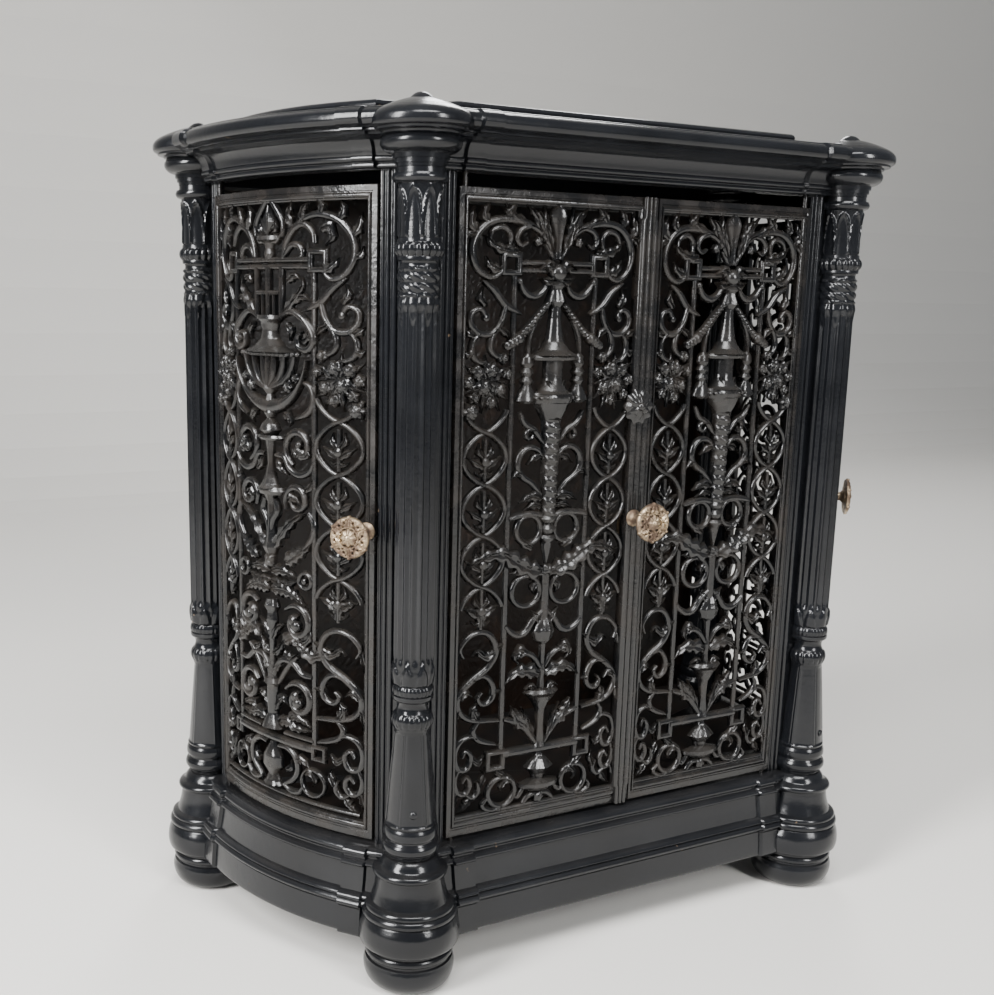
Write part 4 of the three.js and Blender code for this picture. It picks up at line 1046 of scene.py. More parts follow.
def reeded(run):
    """Height of a wing's face over its flat: three reeds, each a half round about its own line."""
    lift = 0 * run
    for centre, radius in ((28.6, 3.4), (36.0, 2.6), (41.6, 1.8)):
        lift = np.maximum(lift, 0.8 * np.sqrt(np.maximum(radius**2 - (run - centre) ** 2, 0)))
    return lift


def add_wing(shape, outline, side, low, high):
    """Upright bar with the given outline in plan, from one height to the other, mirrored for the right
    side."""
    if side == RIGHT_SIDE:
        outline = outline[::-1] * np.array([-1.0, 1.0])
    rings = np.stack([np.column_stack([outline, np.full(len(outline), level)]) for level in (low, high)])
    add_rings(shape, rings)


def build_column(shape, side, x, y, front, flutes):
    """One column from its base rings to its abacus, with its wings towards the doors."""
    profile = np.vstack([LOWER_COLUMN, SHAFT, UPPER_COLUMN])
    flat_at = None if front else PLATE_FACE - SEAT_GAP
    facing = math.radians(-112.0 if front else -187.5)
    if side == RIGHT_SIDE:
        facing = -math.pi - facing
    turned_form(shape, profile, x, y, (8 if front else 6) * flutes, column_change(flutes, facing), flat_at)
    low, high = SILL + SEAT_GAP, CORNICE_BOTTOM - SEAT_GAP
    run = np.linspace(0, WING_REACH, 90)
    face = WING_FACE + reeded(run)
    end = SIDE_SWEEP / 2
    angle = end - run / SIDE_RADIUS if front else run / SIDE_RADIUS - end
    rear = angle[::-6]
    outline = np.vstack([side_point(angle, face), side_point(rear, WING_BACK)])
    if front:
        outline = outline[::-1]
        across = -FRONT_SPACING / 2 + run
        square = [[across[-1], FRONT_Y - WING_BACK], [across[0], FRONT_Y - WING_BACK]]
        add_wing(shape, np.vstack([np.stack([across, FRONT_Y - face], axis=1), square]), side, low, high)
    else:
        outline[:, 1] = np.minimum(outline[:, 1], flat_at)
    add_wing(shape, outline, side, low, high)
    toward = np.array([math.cos(facing), math.sin(facing)])
    aside = np.array([-toward[1], toward[0]])
    button = Shape()
    boss(button, 0.0, 199.0, 4.0, 2.2, base=0.4, back=-3.0, rings=4, around=16)
    button.moved(
        lambda p: np.column_stack([np.array([x, y]) + p[:, :1] * aside + (25.6 + p[:, 2:]) * toward, p[:, 1]])
    )
    if front:
        shape.merge(button)


def build_foot(shape, x, y):
    """Bun foot under a drum; a back one is cut off at the back plane."""
    turned_form(shape, FOOT, x, y, TURNED_SIDES, flat_at=BACK_PLANE)


def on_front(start):
    """Place of a front leaf: x along the front from start, h up, w towards the room."""
    return lambda p: np.column_stack([start + p[:, 0], FRONT_Y - DOOR_FACE - p[:, 2], p[:, 1]])


def on_left_side(p):
    """Place of a side leaf: x is the length of arc from the leaf's back edge, w goes out along the radius."""
    flat = side_point(p[:, 0] / FACE_RADIUS - SIDE_DOOR_END, DOOR_FACE + p[:, 2])
    return np.column_stack([flat, p[:, 1]])


def fitted(given, wanted):
    """Moves x so that each given place falls on the wanted one, and evenly between them."""

    def place(p):
        moved = p.copy()
        moved[:, 0] = np.interp(p[:, 0], given, wanted)
        return moved

    return place


def front_openwork(depth, left_flower, right_flower):
    """Openwork of a front leaf about its own middle line."""
    whole = Shape()
    for turned, bloom in ((False, right_flower), (True, left_flower)):
        half = Shape()
        front_half(half, 104.0)
        lane(half, 79.0, 27.0, 592.0, 54.7, bloom)
        whole.merge(half.mirrored() if turned else half)
    front_middle(whole)
    return whole.moved(lambda p: np.column_stack([p[:, :2], np.maximum(p[:, 2], 0) * (depth - 1) + p[:, 2]]))


def meeting_strip(shape):
    """Strip on the stile of the left leaf: three reeds along it, each the power 0.6 of a half sine across,
    narrow ends, and a rosette over its middle."""
    across = np.linspace(-12.2, 10.8, 49)
    reeds = 2.2 * np.abs(np.sin(3 * np.pi * (across + 12.2) / 23.0)) ** 0.6
    section = np.column_stack([across, 2.4 + reeds])
    section = np.vstack([[[-12.2, -3.0]], section, [[10.8, -3.0]]])
    height = np.array([150.0, 153.0, 170.0, 173.0, 500.0, 700.0, 812.0, 815.0, 834.0, 836.0])
    slim = np.array([0.68, 0.72, 0.72, 1.0, 1.0, 1.0, 1.0, 0.72, 0.72, 0.68])
    x = -0.7 + (section[:, 0] + 0.7)[None, :] * slim[:, None]
    rings = np.stack(
        [x, np.broadcast_to(height[:, None], x.shape), np.broadcast_to(section[:, 1], x.shape)], axis=2
    )
    add_rings(shape, rings)
    boss(shape, -4.0, 615.0, 18.5, 7.5, base=4.4, back=2.0, petals=10, depth=0.08, rings=5, around=60)
    boss(
        shape, -4.0, 615.0, 12.5, 10.0, base=6.0, back=3.0, petals=6, depth=0.14, rings=5, around=48,
        turn=30
    )
    boss(shape, -4.0, 615.0, 5.0, 13.0, base=9.0, back=6.0, rings=4, around=20)


def build_front_leaf(shape, side, depth):
    """Flat leaf of the front: its frame, its openwork fitted between the stiles, and on the left leaf the
    meeting strip."""
    if side == LEFT_SIDE:
        start, width, sides, middle = -FRONT_LEAF_END, LEFT_LEAF, (12.0, 25.0), 120.0
        inner = (-108.0, 101.3)
    else:
        start, width, sides, middle = MEETING_X, RIGHT_LEAF, (8.0, 12.0), 108.5
        inner = (-100.5, 100.5)
    leaf_shape = front_openwork(depth, side == LEFT_SIDE, side == RIGHT_SIDE)
    given = (-130.0, -104.0, -50.0, 50.0, 104.0, 130.0)
    wanted = (inner[0] - 26.0, inner[0], -50.0, 50.0, inner[1], inner[1] + 26.0)
    leaf_shape.moved(fitted(given, wanted))
    leaf_shape.moved(lambda p: p + np.array([middle, 0.0, 0.0]))
    leaf_shape.moved(lambda p: np.column_stack([np.clip(p[:, 0], 2.0, width - 2.0), p[:, 1:]]))
    rail_frame(leaf_shape, width, DOOR_BOTTOM, DOOR_TOP, (*sides, FOOT_RAIL, HEAD_RAIL))
    pin_x = PIN_INSET if side == LEFT_SIDE else width - PIN_INSET
    upright_pin(leaf_shape, pin_x, PIN_OUT, PIN_BOTTOM, PIN_TOP)
    leaf_shape.moved(on_front(start))
    shape.merge(leaf_shape)
    if side == LEFT_SIDE:
        strip = Shape()
        meeting_strip(strip)
        shape.merge(strip.moved(on_front(0.0)))


def build_side_leaf(shape, side, depth):
    """Curved leaf of a side: its frame and its openwork, bent round the bowed side."""
    whole = Shape()
    for turned in (False, True):
        half = Shape()
        side_half(half)
        lane(half, 93.0, 29.0, 601.0, 55.5, True)
        whole.merge(half.mirrored() if turned else half)
    side_middle(whole)
    whole.moved(lambda p: np.column_stack([p[:, :2], np.maximum(p[:, 2], 0) * (depth - 1) + p[:, 2]]))
    given = (-140.0, -122.0, -64.0, 64.0, 122.0, 140.0)
    whole.moved(fitted(given, (-117.0, -104.0, -65.5, 65.5, 131.1, 146.0)))
    whole.moved(lambda p: np.column_stack([np.clip(p[:, 0] + SIDE_MIDDLE, 2.0, SIDE_WIDTH - 2.0), p[:, 1:]]))
    rail_frame(whole, SIDE_WIDTH, DOOR_BOTTOM, DOOR_TOP, (12.0, 12.0, FOOT_RAIL, HEAD_RAIL), 24)
    upright_pin(whole, PIN_INSET, PIN_OUT, PIN_BOTTOM, PIN_TOP)
    whole.moved(on_left_side)
    shape.merge(whole if side == LEFT_SIDE else whole.mirrored())


def turned_knob(shape, profile, around=32):
    """Turned form about the w axis, from the door outwards: profile gives (radius, w)."""
    outline = np.asarray(profile, float)
    angle = np.linspace(0, 2 * np.pi, around, endpoint=False)
    radius = outline[:, :1]
    rings = np.stack(
        [
            radius * np.cos(angle), radius * np.sin(angle),
            np.broadcast_to(outline[:, 1:], (len(outline), around))
        ],
        axis=2
    )
    add_rings(shape, rings)


def build_knob(shape, seat, place):
    """Pierced rosette of leaves and small scrolls on a turned stem, with the catch behind the leaf."""
    knob = Shape()
    stem = strokes(
        [(3.6, -17), (3.6, seat)],
        [(9.4, seat), (9.6, seat + 1.6), (7.2, seat + 3.6), (5.2, seat + 8), (5.0, 30), (7.5, 35), (9, 37)],
        fine=1.0
    )
    turned_knob(knob, stem)
    hoop(knob, 0, 0, 19.6, 1.9, 42.6, back=38.4, steps=48, beads=20)
    hoop(knob, 0, 0, 11.0, 1.5, 43.6, back=38.0, steps=36)
    for k in range(6):
        turn = math.radians(60 * k + 30)
        axis = np.array([math.cos(turn), math.sin(turn)])
        aside = np.array([-axis[1], axis[0]])
        leaf(knob, [axis * 8, axis * 15, axis * 21.5], 5.0, 3, 44.5, back=38.5, steps=12)
        for way in (aside, -aside):
            curl = [axis * 12 + way * 7, axis * 17 + way * 7.5, axis * 18 + way * 3.4]
            scroll(knob, curl, 1.5, 0.9, 43.0, back=39.0, steps=9)
        boss(knob, *(axis * 21.0), 1.9, 43.4, base=41.0, back=39.0, around=10, rings=3)
    boss(knob, 0, 0, 9.5, 45.2, base=41.5, back=37.0, petals=8, depth=0.1, rings=5, around=48)
    boss(knob, 0, 0, 4.0, 47.0, base=43.5, back=40.0, rings=4, around=20)
    tongue = np.array([(-5, -22), (5, -22), (5, 5), (-5, 5)], float)
    rings = np.stack([np.column_stack([tongue, np.full(4, level)]) for level in (-17.0, -13.4)])
    add_rings(knob, rings)
    shape.merge(knob.moved(place))


def knob_places():
    """Name of each knob, the body it turns on, how far its seat stands, and where it goes."""

    def front(p):
        return np.column_stack([FRONT_KNOB_X + p[:, 0], FRONT_Y - DOOR_FACE - p[:, 2], KNOB_HEIGHT + p[:, 1]])

    angle = SIDE_DOOR_END - KNOB_INSET / FACE_RADIUS
    seat = side_point(np.array(angle), DOOR_FACE)
    outward = math.cos(angle) * side_outward + math.sin(angle) * side_forward
    forward = np.array([-outward[1], outward[0]])

    def left(p):
        flat = seat + p[:, :1] * forward + p[:, 2:] * outward
        return np.column_stack([flat, KNOB_HEIGHT + p[:, 1]])

    yield "front_knob", "front_pull", 5.0 + SEAT_GAP, front, False
    yield "left_side_knob", "left_side_pull", SEAT_GAP, left, False
    yield "right_side_knob", "right_side_pull", SEAT_GAP, left, True


def start_finish(name):
    """A material with one shader, and ways to add a node and to join two sockets."""
    finish = bpy.data.materials.new(name)
    finish.use_nodes = True
    tree = finish.node_tree
    shader = tree.nodes["Principled BSDF"]

    def node(kind, **values):
        made = tree.nodes.new(kind)
        for key, value in values.items():
            if key in made.inputs:
                made.inputs[key].default_value = value
            else:
                setattr(made, key, value)
        return made

    def join(source, target):
        tree.links.new(source, target)

    return finish, shader, node, join


def patches(node, join, scale, low, high, detail=6.0, roughness=0.6):
    """Share from 0 to 1 over soft patches of noise on Object coordinates."""
    place = node("ShaderNodeTexCoord")
    noise = node("ShaderNodeTexNoise", Scale=scale, Detail=detail, Roughness=roughness)
    join(place.outputs["Object"], noise.inputs["Vector"])
    share = node("ShaderNodeMapRange")
    share.inputs["From Min"].default_value = low
    share.inputs["From Max"].default_value = high
    join(noise.outputs["Fac"], share.inputs["Value"])
    return share.outputs["Result"]


def blended(node, join, share, first, second):
    """Colour that goes from the first to the second with the share; each is a colour or a socket."""
    mix = node("ShaderNodeMix", data_type="RGBA")
    join(share, mix.inputs[0])
    for index, value in ((6, first), (7, second)):
        if hasattr(value, "is_output"):
            join(value, mix.inputs[index])
        else:
            mix.inputs[index].default_value = (*value, 1.0)
    return mix.outputs[2]


def scaled(node, join, first, second):
    """Product of a socket and either another socket or a number."""
    product = node("ShaderNodeMath", operation="MULTIPLY")
    join(first, product.inputs[0])
    if hasattr(second, "is_output"):
        join(second, product.inputs[1])
    else:
        product.inputs[1].default_value = second
    return product.outputs[0]


def ranged(node, join, source, low, high, first, second):
    """Number that goes from first to second as the source goes from low to high."""
    share = node("ShaderNodeMapRange")
    for key, value in (("From Min", low), ("From Max", high), ("To Min", first), ("To Max", second)):
        share.inputs[key].default_value = value
    join(source, share.inputs["Value"])
    return share.outputs["Result"]


def rough_skin(shader, node, join, scale, distance, strength=0.5):
    """Fine unevenness of the casting."""
    place = node("ShaderNodeTexCoord")
    noise = node("ShaderNodeTexNoise", Scale=scale, Detail=4.0)
    join(place.outputs["Object"], noise.inputs["Vector"])
    bump = node("ShaderNodeBump", Strength=strength, Distance=distance)
    join(noise.outputs["Fac"], bump.inputs["Height"])
    join(bump.outputs["Normal"], shader.inputs["Normal"])


def upward(node, join, low=0.5, high=1.0):
    """Share of a surface that looks up, where dust settles."""
    place = node("ShaderNodeTexCoord")
    parts = node("ShaderNodeSeparateXYZ")
    join(place.outputs["Normal"], parts.inputs[0])
    return ranged(node, join, parts.outputs["Z"], low, high, 0.0, 1.0)


def enamel_finish(colours):
    """Glossy black enamel with a bluish cast, dusty on top, with small rusty and pale chips."""
    finish, shader, node, join = start_finish("black enamel")
    cloud = patches(node, join, 9.0, 0.35, 0.7)
    base = blended(node, join, cloud, colours.enamel, [1.9 * c for c in colours.enamel])
    dust = scaled(node, join, upward(node, join), patches(node, join, 14.0, 0.3, 0.7))
    dust = scaled(node, join, dust, colours.dust_amount)
    base = blended(node, join, dust, base, colours.dust)
    chips = patches(node, join, 40.0, 0.735, 0.75, 3.0)
    base = blended(node, join, chips, base, colours.chip)
    bare_iron = node("ShaderNodeAttribute", attribute_name="bare").outputs["Fac"]
    rust = blended(node, join, patches(node, join, 20.0, 0.4, 0.65), colours.rust_dark, colours.rust)
    join(blended(node, join, bare_iron, base, rust), shader.inputs["Base Color"])
    gloss = ranged(
        node, join, patches(node, join, 22.0, 0.3, 0.75), 0.0, 1.0, colours.gloss, colours.gloss + 0.14
    )
    rough = node("ShaderNodeMath", operation="MAXIMUM")
    join(gloss, rough.inputs[0])
    join(scaled(node, join, bare_iron, 0.8), rough.inputs[1])
    join(rough.outputs[0], shader.inputs["Roughness"])
    shader.inputs["Specular IOR Level"].default_value = 0.36
    rough_skin(shader, node, join, 130.0, 0.0006, 0.35)
    return finish


def grille_finish(colours):
    """Blackened ironwork, brown with rust in patches, and painted lighter towards its crests: a painted
    highlight on the crests, with the hollows left darker as painted shade.
    """
    finish, shader, node, join = start_finish("worn grille")
    # Painted highlight and shade: the further a point stands out of the leaf's face, the lighter it is
    # painted, so the hollows stay dark
    height = node("ShaderNodeAttribute", attribute_name="relief")
    painted_crest_light = ranged(node, join, height.outputs["Fac"], -1.0, 5.0, 0.0, 1.0)
    rust = patches(node, join, 30.0, 0.42, 0.66)
    base = blended(node, join, rust, colours.iron, colours.grille_rust)
    base = blended(node, join, scaled(node, join, painted_crest_light, 0.3), base, colours.painted_crest_light)
    dust = scaled(node, join, upward(node, join, 0.3, 0.9), colours.dust_amount)
    base = blended(node, join, dust, base, colours.dust)
    join(base, shader.inputs["Base Color"])
    join(ranged(node, join, rust, 0.0, 1.0, colours.gloss + 0.03, 0.38), shader.inputs["Roughness"])
    rough_skin(shader, node, join, 220.0, 0.0007, 0.5)
    return finish


def rust_finish(colours):
    """Bare iron of the inside: dark brown rust with ochre blooms."""
    finish, shader, node, join = start_finish("rusty iron")
    base = blended(node, join, patches(node, join, 7.0, 0.35, 0.65), colours.rust_dark, colours.rust)
    base = blended(node, join, patches(node, join, 40.0, 0.55, 0.7), base, colours.rust_bloom)
    join(base, shader.inputs["Base Color"])
    shader.inputs["Roughness"].default_value = 0.3
    rough_skin(shader, node, join, 160.0, 0.0015, 0.8)
    return finish


def gilt_finish(colours):
    """Aged gilding: yellow brass, gone brown in patches."""
    finish, shader, node, join = start_finish("aged gilt")
    wear = patches(node, join, 60.0, 0.36, 0.58)
    join(blended(node, join, wear, colours.gilt, colours.gilt_dark), shader.inputs["Base Color"])
    shader.inputs["Metallic"].default_value = 0.9
    join(ranged(node, join, wear, 0.0, 1.0, 0.32, 0.6), shader.inputs["Roughness"])
    rough_skin(shader, node, join, 300.0, 0.0004, 0.4)
    return finish


def plain_finish(name, colour, roughness):
    """Even finish of one colour, for the floor."""
    finish, shader, _, _ = start_finish(name)
    shader.inputs["Base Color"].default_value = (*colour, 1.0)
    shader.inputs["Roughness"].default_value = roughness
    return finish


FINISHES = {
    "black_enamel": enamel_finish,
    "worn_grille": grille_finish,
    "rusty_iron": rust_finish,
    "aged_gilt": gilt_finish,
}


def finish_for(slot_name):
    """The finish of a slot, made once."""
    key = slot_name.replace("_", " ")
    return bpy.data.materials.get(key) or FINISHES[slot_name](bpy.context.scene.cabinet_colours)


def make_piece(name, shape, slot_name, body, node_name=None, share=None):
    """Mesh of a shape, in metres, with smooth faces and sharp edges; it rides on its body and stands for its
    node."""
    points = np.vstack(shape.points) * 0.001  # metres
    quads = np.vstack(shape.quads)
    tris = np.vstack(shape.tris) if shape.tris else np.zeros((0, 3), int)
    mesh = bpy.data.meshes.new(name)
    mesh.vertices.add(len(points))
    mesh.vertices.foreach_set("co", points.ravel())
    mesh.loops.add(quads.size + tris.size)
    mesh.loops.foreach_set("vertex_index", np.concatenate([quads.ravel(), tris.ravel()]).astype(np.int32))
    mesh.polygons.add(len(quads) + len(tris))
    starts = np.concatenate([np.arange(len(quads)) * 4, quads.size + np.arange(len(tris)) * 3])
    mesh.polygons.foreach_set("loop_start", starts.astype(np.int32))
    mesh.update(calc_edges=True)
    mesh.validate()
    mesh.shade_smooth()
    mesh.set_sharp_from_angle(angle=SHARP_ANGLE)
    # The relief attribute holds each point's height out of its leaf's face; the grille finish uses it to
    # paint the crests lighter, a painted highlight with painted shade left in the hollows
    if share is not None:
        key = "bare" if share is bare else "relief"
        mesh.attributes.new(key, "FLOAT", "POINT").data.foreach_set("value", share(points).astype(np.float32))
    piece = bpy.data.objects.new(name, mesh)
    bpy.context.scene.collection.objects.link(piece)
    mesh.materials.append(finish_for(slot_name))
    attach(piece, body)
    if node_name:
        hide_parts(node_name)
    return piece


def bare(points):
    """One on the floor inside the leaves, which is bare iron, and zero elsewhere."""
    flat = np.stack([-np.abs(points[:, 0]), points[:, 1]], axis=1) * 1000
    inside = np.hypot(*(flat - side_centre).T) < SIDE_RADIUS - BARE_MARGIN
    on_floor = points[:, 2] * 1000 > SILL - 0.1
    return (inside & (flat[:, 1] > FRONT_Y + BARE_MARGIN) & on_floor).astype(float)


def front_out(points):
    """How far a point stands out of the front leaf's face, in millimetres."""
    return FRONT_Y - DOOR_FACE - points[:, 1] * 1000


def side_out(points):
    """How far a point stands out of a side leaf's face: its distance from the side's centre, less the
    radius of that face."""
    flat = np.stack([-np.abs(points[:, 0]), points[:, 1]], axis=1) * 1000
    return np.hypot(*(flat - side_centre).T) - FACE_RADIUS


class CABINET_PG_castings(bpy.types.PropertyGroup):
    """Sizes of the cabinet's castings."""

    flutes: bpy.props.IntProperty(
        name="Flutes", description="Flutes round each column", default=16, min=8, max=24
    )
    base_break: bpy.props.FloatProperty(
        name="Base break", description="How far the blocks beside the drums stand out, in mm", default=4.0,
        min=0.0, max=8.0
    )
    cornice_break: bpy.props.FloatProperty(
        name="Cornice break", description="How far the blocks beside the domes stand out, in mm",
        default=4.5, min=0.0, max=6.0
    )
    relief: bpy.props.FloatProperty(
        name="Relief", description="Depth of the raised ornament as a share", default=1.0, min=0.5, max=1.2,
        subtype="FACTOR"
    )


def colour_property(name, description, default):
    """Colour that a user may change."""
    return bpy.props.FloatVectorProperty(
        name=name, description=description, default=default, subtype="COLOR", size=3, min=0.0, max=1.0
    )


class CABINET_PG_colours(bpy.types.PropertyGroup):
    """Colours and gloss of the finishes."""

    enamel: colour_property("Enamel", "Black enamel", (0.0042, 0.0046, 0.0056))
    dust: colour_property("Dust", "Dust on upward faces", (0.16, 0.145, 0.125))
    chip: colour_property("Chip", "Chipped enamel", (0.10, 0.07, 0.045))
    iron: colour_property("Iron", "Blackened iron of the grilles", (0.0045, 0.0046, 0.0050))
    grille_rust: colour_property("Grille rust", "Brown of the grilles", (0.0130, 0.0100, 0.0080))
    # Painted highlight: colour that the grille's crests are painted towards, with the hollows left darker as
    # painted shade
    painted_crest_light: colour_property("Crest", "Worn crests of the ornament", (0.022, 0.021, 0.020))
    rust_dark: colour_property("Dark rust", "Dark iron inside", (0.0050, 0.0038, 0.0032))
    rust: colour_property("Rust", "Rust inside", (0.0150, 0.0085, 0.0055))
    rust_bloom: colour_property("Rust bloom", "Ochre blooms of the rust", (0.032, 0.017, 0.010))
    gilt: colour_property("Gilt", "Gilding of the knobs", (0.42, 0.33, 0.22))
    gilt_dark: colour_property("Dark gilt", "Gilding gone brown", (0.13, 0.09, 0.065))
    floor: colour_property("Floor", "Pale floor", (0.78, 0.76, 0.72))
    gloss: bpy.props.FloatProperty(
        name="Gloss", description="Roughness of clean enamel", default=0.13, min=0.05, max=0.8,
        subtype="FACTOR"
    )
    dust_amount: bpy.props.FloatProperty(
        name="Dust amount", description="Cover of the dust on upward faces", default=0.07, min=0.0, max=1.0,
        subtype="FACTOR"
    )


class CABINET_PG_stage(bpy.types.PropertyGroup):
    """Lights and lens of the picture."""

    key_power: bpy.props.FloatProperty(
        name="Key light", description="Power of the window-like light", default=210.0, min=0.0, unit="POWER"
    )
    fill_power: bpy.props.FloatProperty(
        name="Fill light", description="Power of the broad light", default=85.0, min=0.0, unit="POWER"
    )
    lens: bpy.props.FloatProperty(
        name="Lens", description="Focal length", default=43.95, min=10.0, unit="CAMERA"
    )


class CABINET_OT_base(bpy.types.Operator):
    """Plinth with its drums"""

    bl_idname = "cabinet.base"
    bl_label = "Base"

    def execute(self, context):
        shape = Shape()
        build_base(shape, context.scene.cabinet_castings.base_break)
        make_piece("base_casting", shape, "black_enamel", "cabinet", "base", bare)
        return {"FINISHED"}


class CABINET_OT_feet(bpy.types.Operator):
    """Four bun feet"""

    bl_idname = "cabinet.feet"
    bl_label = "Feet"

    def execute(self, context):
        for name, _, x, y in places():
            shape = Shape()
            build_foot(shape, x, y)
            make_piece(f"{name}_bun_foot", shape, "black_enamel", "cabinet", f"foot_{name}")
        return {"FINISHED"}


class CABINET_OT_columns(bpy.types.Operator):
    """Four fluted columns with their wings"""

    bl_idname = "cabinet.columns"
    bl_label = "Columns"

    def execute(self, context):
        flutes = context.scene.cabinet_castings.flutes
        for name, side, x, y in places():
            shape = Shape()
            build_column(shape, side, x, y, name.startswith("front"), flutes)
            make_piece(f"{name}_column_casting", shape, "black_enamel", "cabinet", f"column_{name}")
        return {"FINISHED"}


class CABINET_OT_cornice(bpy.types.Operator):
    """Cornice with its domes, and the cover over it"""

    bl_idname = "cabinet.cornice"
    bl_label = "Cornice and Cover"

    def execute(self, context):
        shape = Shape()
        build_cornice(shape, context.scene.cabinet_castings.cornice_break)
        make_piece("cornice_casting", shape, "black_enamel", "cabinet", "cornice")
        shape = Shape()
        build_cover(shape)
        make_piece("cover_casting", shape, "black_enamel", "cabinet", "cover_plate")
        return {"FINISHED"}


class CABINET_OT_back(bpy.types.Operator):
    """Rusty finish of the plain back plate"""

    bl_idname = "cabinet.back"
    bl_label = "Back Plate"

    def execute(self, context):
        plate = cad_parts["back_plate"]
        plate.data.materials.clear()
        plate.data.materials.append(finish_for("rusty_iron"))
        return {"FINISHED"}


class CABINET_OT_front_leaves(bpy.types.Operator):
    """Two openwork leaves of the front"""

    bl_idname = "cabinet.front_leaves"
    bl_label = "Front Leaves"

    def execute(self, context):
        depth = context.scene.cabinet_castings.relief
        for side, word in ((LEFT_SIDE, "left"), (RIGHT_SIDE, "right")):
            shape = Shape()
            build_front_leaf(shape, side, depth)
            make_piece(
                f"front_{word}_leaf_casting", shape, "worn_grille", f"front_{word}_leaf",
                f"front_{word}_door", front_out
            )
        return {"FINISHED"}


class CABINET_OT_side_leaves(bpy.types.Operator):
    """Two bowed openwork leaves of the sides"""

    bl_idname = "cabinet.side_leaves"
    bl_label = "Side Leaves"

    def execute(self, context):
        depth = context.scene.cabinet_castings.relief
        for side, word in ((LEFT_SIDE, "left"), (RIGHT_SIDE, "right")):
            shape = Shape()
            build_side_leaf(shape, side, depth)
            make_piece(
                f"{word}_side_leaf_casting", shape, "worn_grille", f"{word}_side_leaf", f"{word}_side_door",
                side_out
            )
        return {"FINISHED"}


class CABINET_OT_knobs(bpy.types.Operator):
    """Gilt knobs with their catches"""

    bl_idname = "cabinet.knobs"
    bl_label = "Knobs"

    def execute(self, context):
        for name, body, seat, place, turned in knob_places():
            shape = Shape()
            build_knob(shape, seat, place)
            make_piece(name + "_casting", shape.mirrored() if turned else shape, "aged_gilt", body, name)
        return {"FINISHED"}


class CABINET_OT_stage(bpy.types.Operator):
    """Floor, lights and camera"""

    bl_idname = "cabinet.stage"
    bl_label = "Stage"

    def execute(self, context):
        build_stage(context.scene.cabinet_stage, context.scene.cabinet_colours)
        return {"FINISHED"}


# Where the camera stands, and the directions of its frame, for the view of the picture
CAMERA_PLACE = (-0.848, -1.2166, 0.7246)
CAMERA_AZIMUTH = math.radians(-27.689)
CAMERA_ELEVATION = math.radians(11.704)
CAMERA_ROLL = math.radians(0.831)
CAMERA_SHIFT = (0.0891, 0.0554)


def add_light(name, place, target, width, height, power):
    """Upright area light that faces its target."""
    lamp = bpy.data.lights.new(name, "AREA")
    lamp.size = width
    lamp.energy = power
    light = bpy.data.objects.new(name, lamp)
    light.location = place
    light.data.shape = "RECTANGLE"
    light.data.size_y = height
    light.rotation_euler = (Vector(target) - Vector(place)).to_track_quat("-Z", "Y").to_euler()
    bpy.context.scene.collection.objects.link(light)


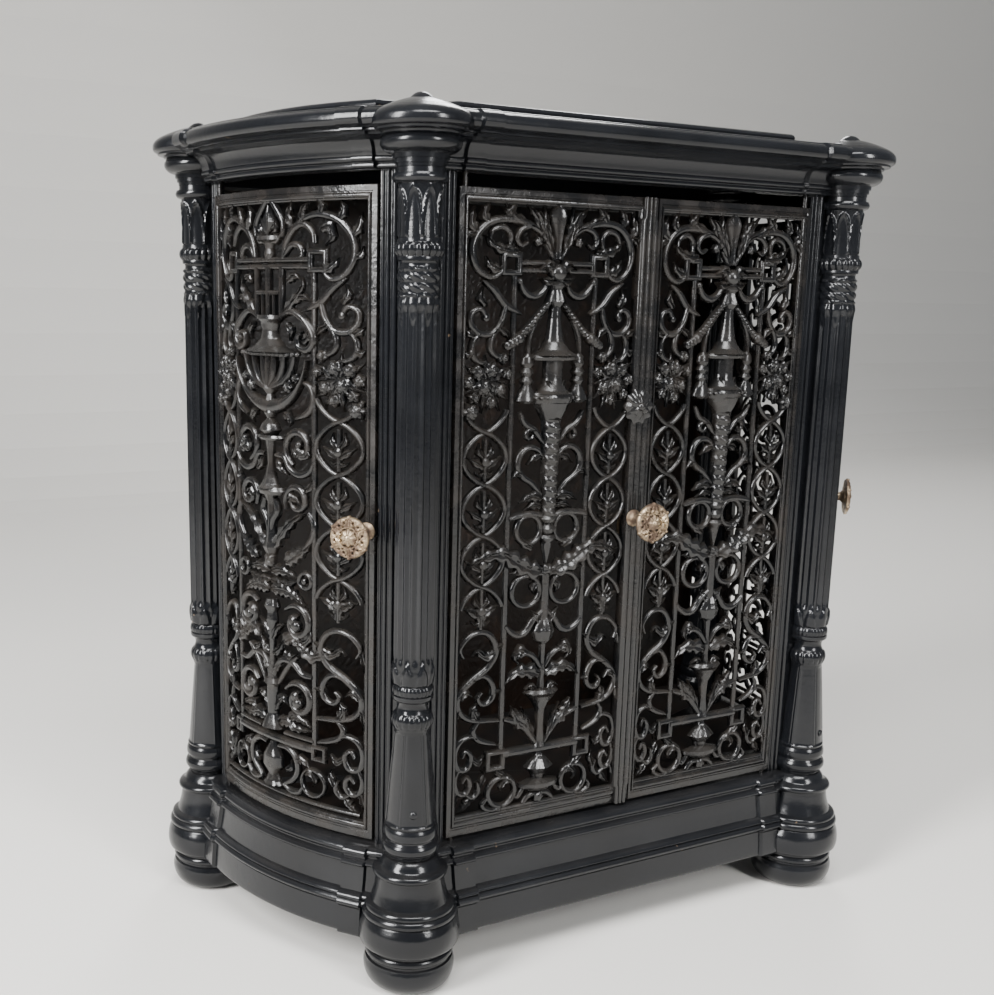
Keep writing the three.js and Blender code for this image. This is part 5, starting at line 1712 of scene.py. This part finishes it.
def build_stage(stage, colours):
    """Floor that curves up into a backdrop, soft lights, and a camera at the picture's angle."""
    run = np.concatenate([np.linspace(-6, 3, 10), 3 + 2 * np.sin(np.linspace(0.1, np.pi / 2, 12)), [5.0]])
    rise = np.concatenate([np.zeros(10), 2 - 2 * np.cos(np.linspace(0.1, np.pi / 2, 12)), [12.0]])
    across = np.linspace(-16, 16, 9)
    size = (len(run), len(across))
    points = np.stack(
        [
            np.broadcast_to(across, size), np.broadcast_to(run[:, None], size),
            np.broadcast_to(rise[:, None], size)
        ],
        axis=2
    )
    mesh = bpy.data.meshes.new("floor")
    mesh.from_pydata(points.reshape(-1, 3).tolist(), [], grid_faces(*size, wrap_columns=False).tolist())
    mesh.materials.append(plain_finish("pale floor", colours.floor, 0.75))
    floor = bpy.data.objects.new("floor", mesh)
    floor.location.z = -0.0005
    bpy.context.scene.collection.objects.link(floor)

    world = bpy.data.worlds.new("studio")
    bpy.context.scene.world = world
    world.use_nodes = True
    world.node_tree.nodes["Background"].inputs["Color"].default_value = (0.9, 0.94, 1.0, 1.0)
    world.node_tree.nodes["Background"].inputs["Strength"].default_value = 0.3
    add_light("key", (-2.7, -0.6, 1.9), (0, 0, 0.5), 0.8, 2.0, stage.key_power)
    add_light("window", (0.7, -3.2, 1.8), (0, 0, 0.5), 0.7, 1.6, 1.15 * stage.fill_power)
    add_light("overhead", (-0.6, -1.5, 3.0), (0, 0, 0.6), 1.8, 0.8, stage.fill_power)
    add_light("rear", (2.2, 3.0, 3.6), (0, 0, 0.5), 1.2, 1.6, stage.fill_power)

    lens = bpy.data.cameras.new("camera")
    lens.lens = stage.lens
    lens.sensor_width = 36.0
    lens.shift_x, lens.shift_y = CAMERA_SHIFT
    camera = bpy.data.objects.new("camera", lens)
    sa, ca = math.sin(CAMERA_AZIMUTH), math.cos(CAMERA_AZIMUTH)
    se, ce = math.sin(CAMERA_ELEVATION), math.cos(CAMERA_ELEVATION)
    back = Vector((sa * ce, -ca * ce, se))
    right = Vector((ca, sa, 0.0))
    up = back.cross(right)
    sr, cr = math.sin(CAMERA_ROLL), math.cos(CAMERA_ROLL)
    turned_right, turned_up = right * cr + up * sr, up * cr - right * sr
    camera.matrix_world = Matrix.Translation(CAMERA_PLACE) @ Matrix(
        (turned_right, turned_up, back)
    ).transposed().to_4x4()
    bpy.context.scene.collection.objects.link(camera)
    bpy.context.scene.camera = camera


class CABINET_PT_panel(bpy.types.Panel):
    """Lists the cabinet's settings and its pieces"""

    bl_idname = "CABINET_PT_panel"
    bl_label = "Fire Cabinet"
    bl_space_type = "VIEW_3D"
    bl_region_type = "UI"
    bl_category = "Fire Cabinet"

    def draw(self, context):
        for settings in (
            context.scene.cabinet_castings, context.scene.cabinet_colours, context.scene.cabinet_stage
        ):
            box = self.layout.box()
            for key in settings.__annotations__:
                box.prop(settings, key)
        for operator in OPERATORS:
            self.layout.operator(operator.bl_idname)


OPERATORS = (
    CABINET_OT_base,
    CABINET_OT_feet,
    CABINET_OT_columns,
    CABINET_OT_cornice,
    CABINET_OT_back,
    CABINET_OT_front_leaves,
    CABINET_OT_side_leaves,
    CABINET_OT_knobs,
    CABINET_OT_stage,
)
GROUPS = (CABINET_PG_castings, CABINET_PG_colours, CABINET_PG_stage)


def register():
    """Adds the classes and the three groups of settings of the scene."""
    for item in (*GROUPS, *OPERATORS, CABINET_PT_panel):
        bpy.utils.register_class(item)
    bpy.types.Scene.cabinet_castings = bpy.props.PointerProperty(type=CABINET_PG_castings)
    bpy.types.Scene.cabinet_colours = bpy.props.PointerProperty(type=CABINET_PG_colours)
    bpy.types.Scene.cabinet_stage = bpy.props.PointerProperty(type=CABINET_PG_stage)


def unregister():
    """Takes the settings and the classes away again."""
    del bpy.types.Scene.cabinet_castings
    del bpy.types.Scene.cabinet_colours
    del bpy.types.Scene.cabinet_stage
    for item in reversed((*GROUPS, *OPERATORS, CABINET_PT_panel)):
        bpy.utils.unregister_class(item)


def main():
    """Registers the cabinet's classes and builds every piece."""
    register()
    bpy.ops.cabinet.base()
    bpy.ops.cabinet.feet()
    bpy.ops.cabinet.columns()
    bpy.ops.cabinet.cornice()
    bpy.ops.cabinet.back()
    bpy.ops.cabinet.front_leaves()
    bpy.ops.cabinet.side_leaves()
    bpy.ops.cabinet.knobs()
    bpy.ops.cabinet.stage()


if __name__ == "__main__":
    main()
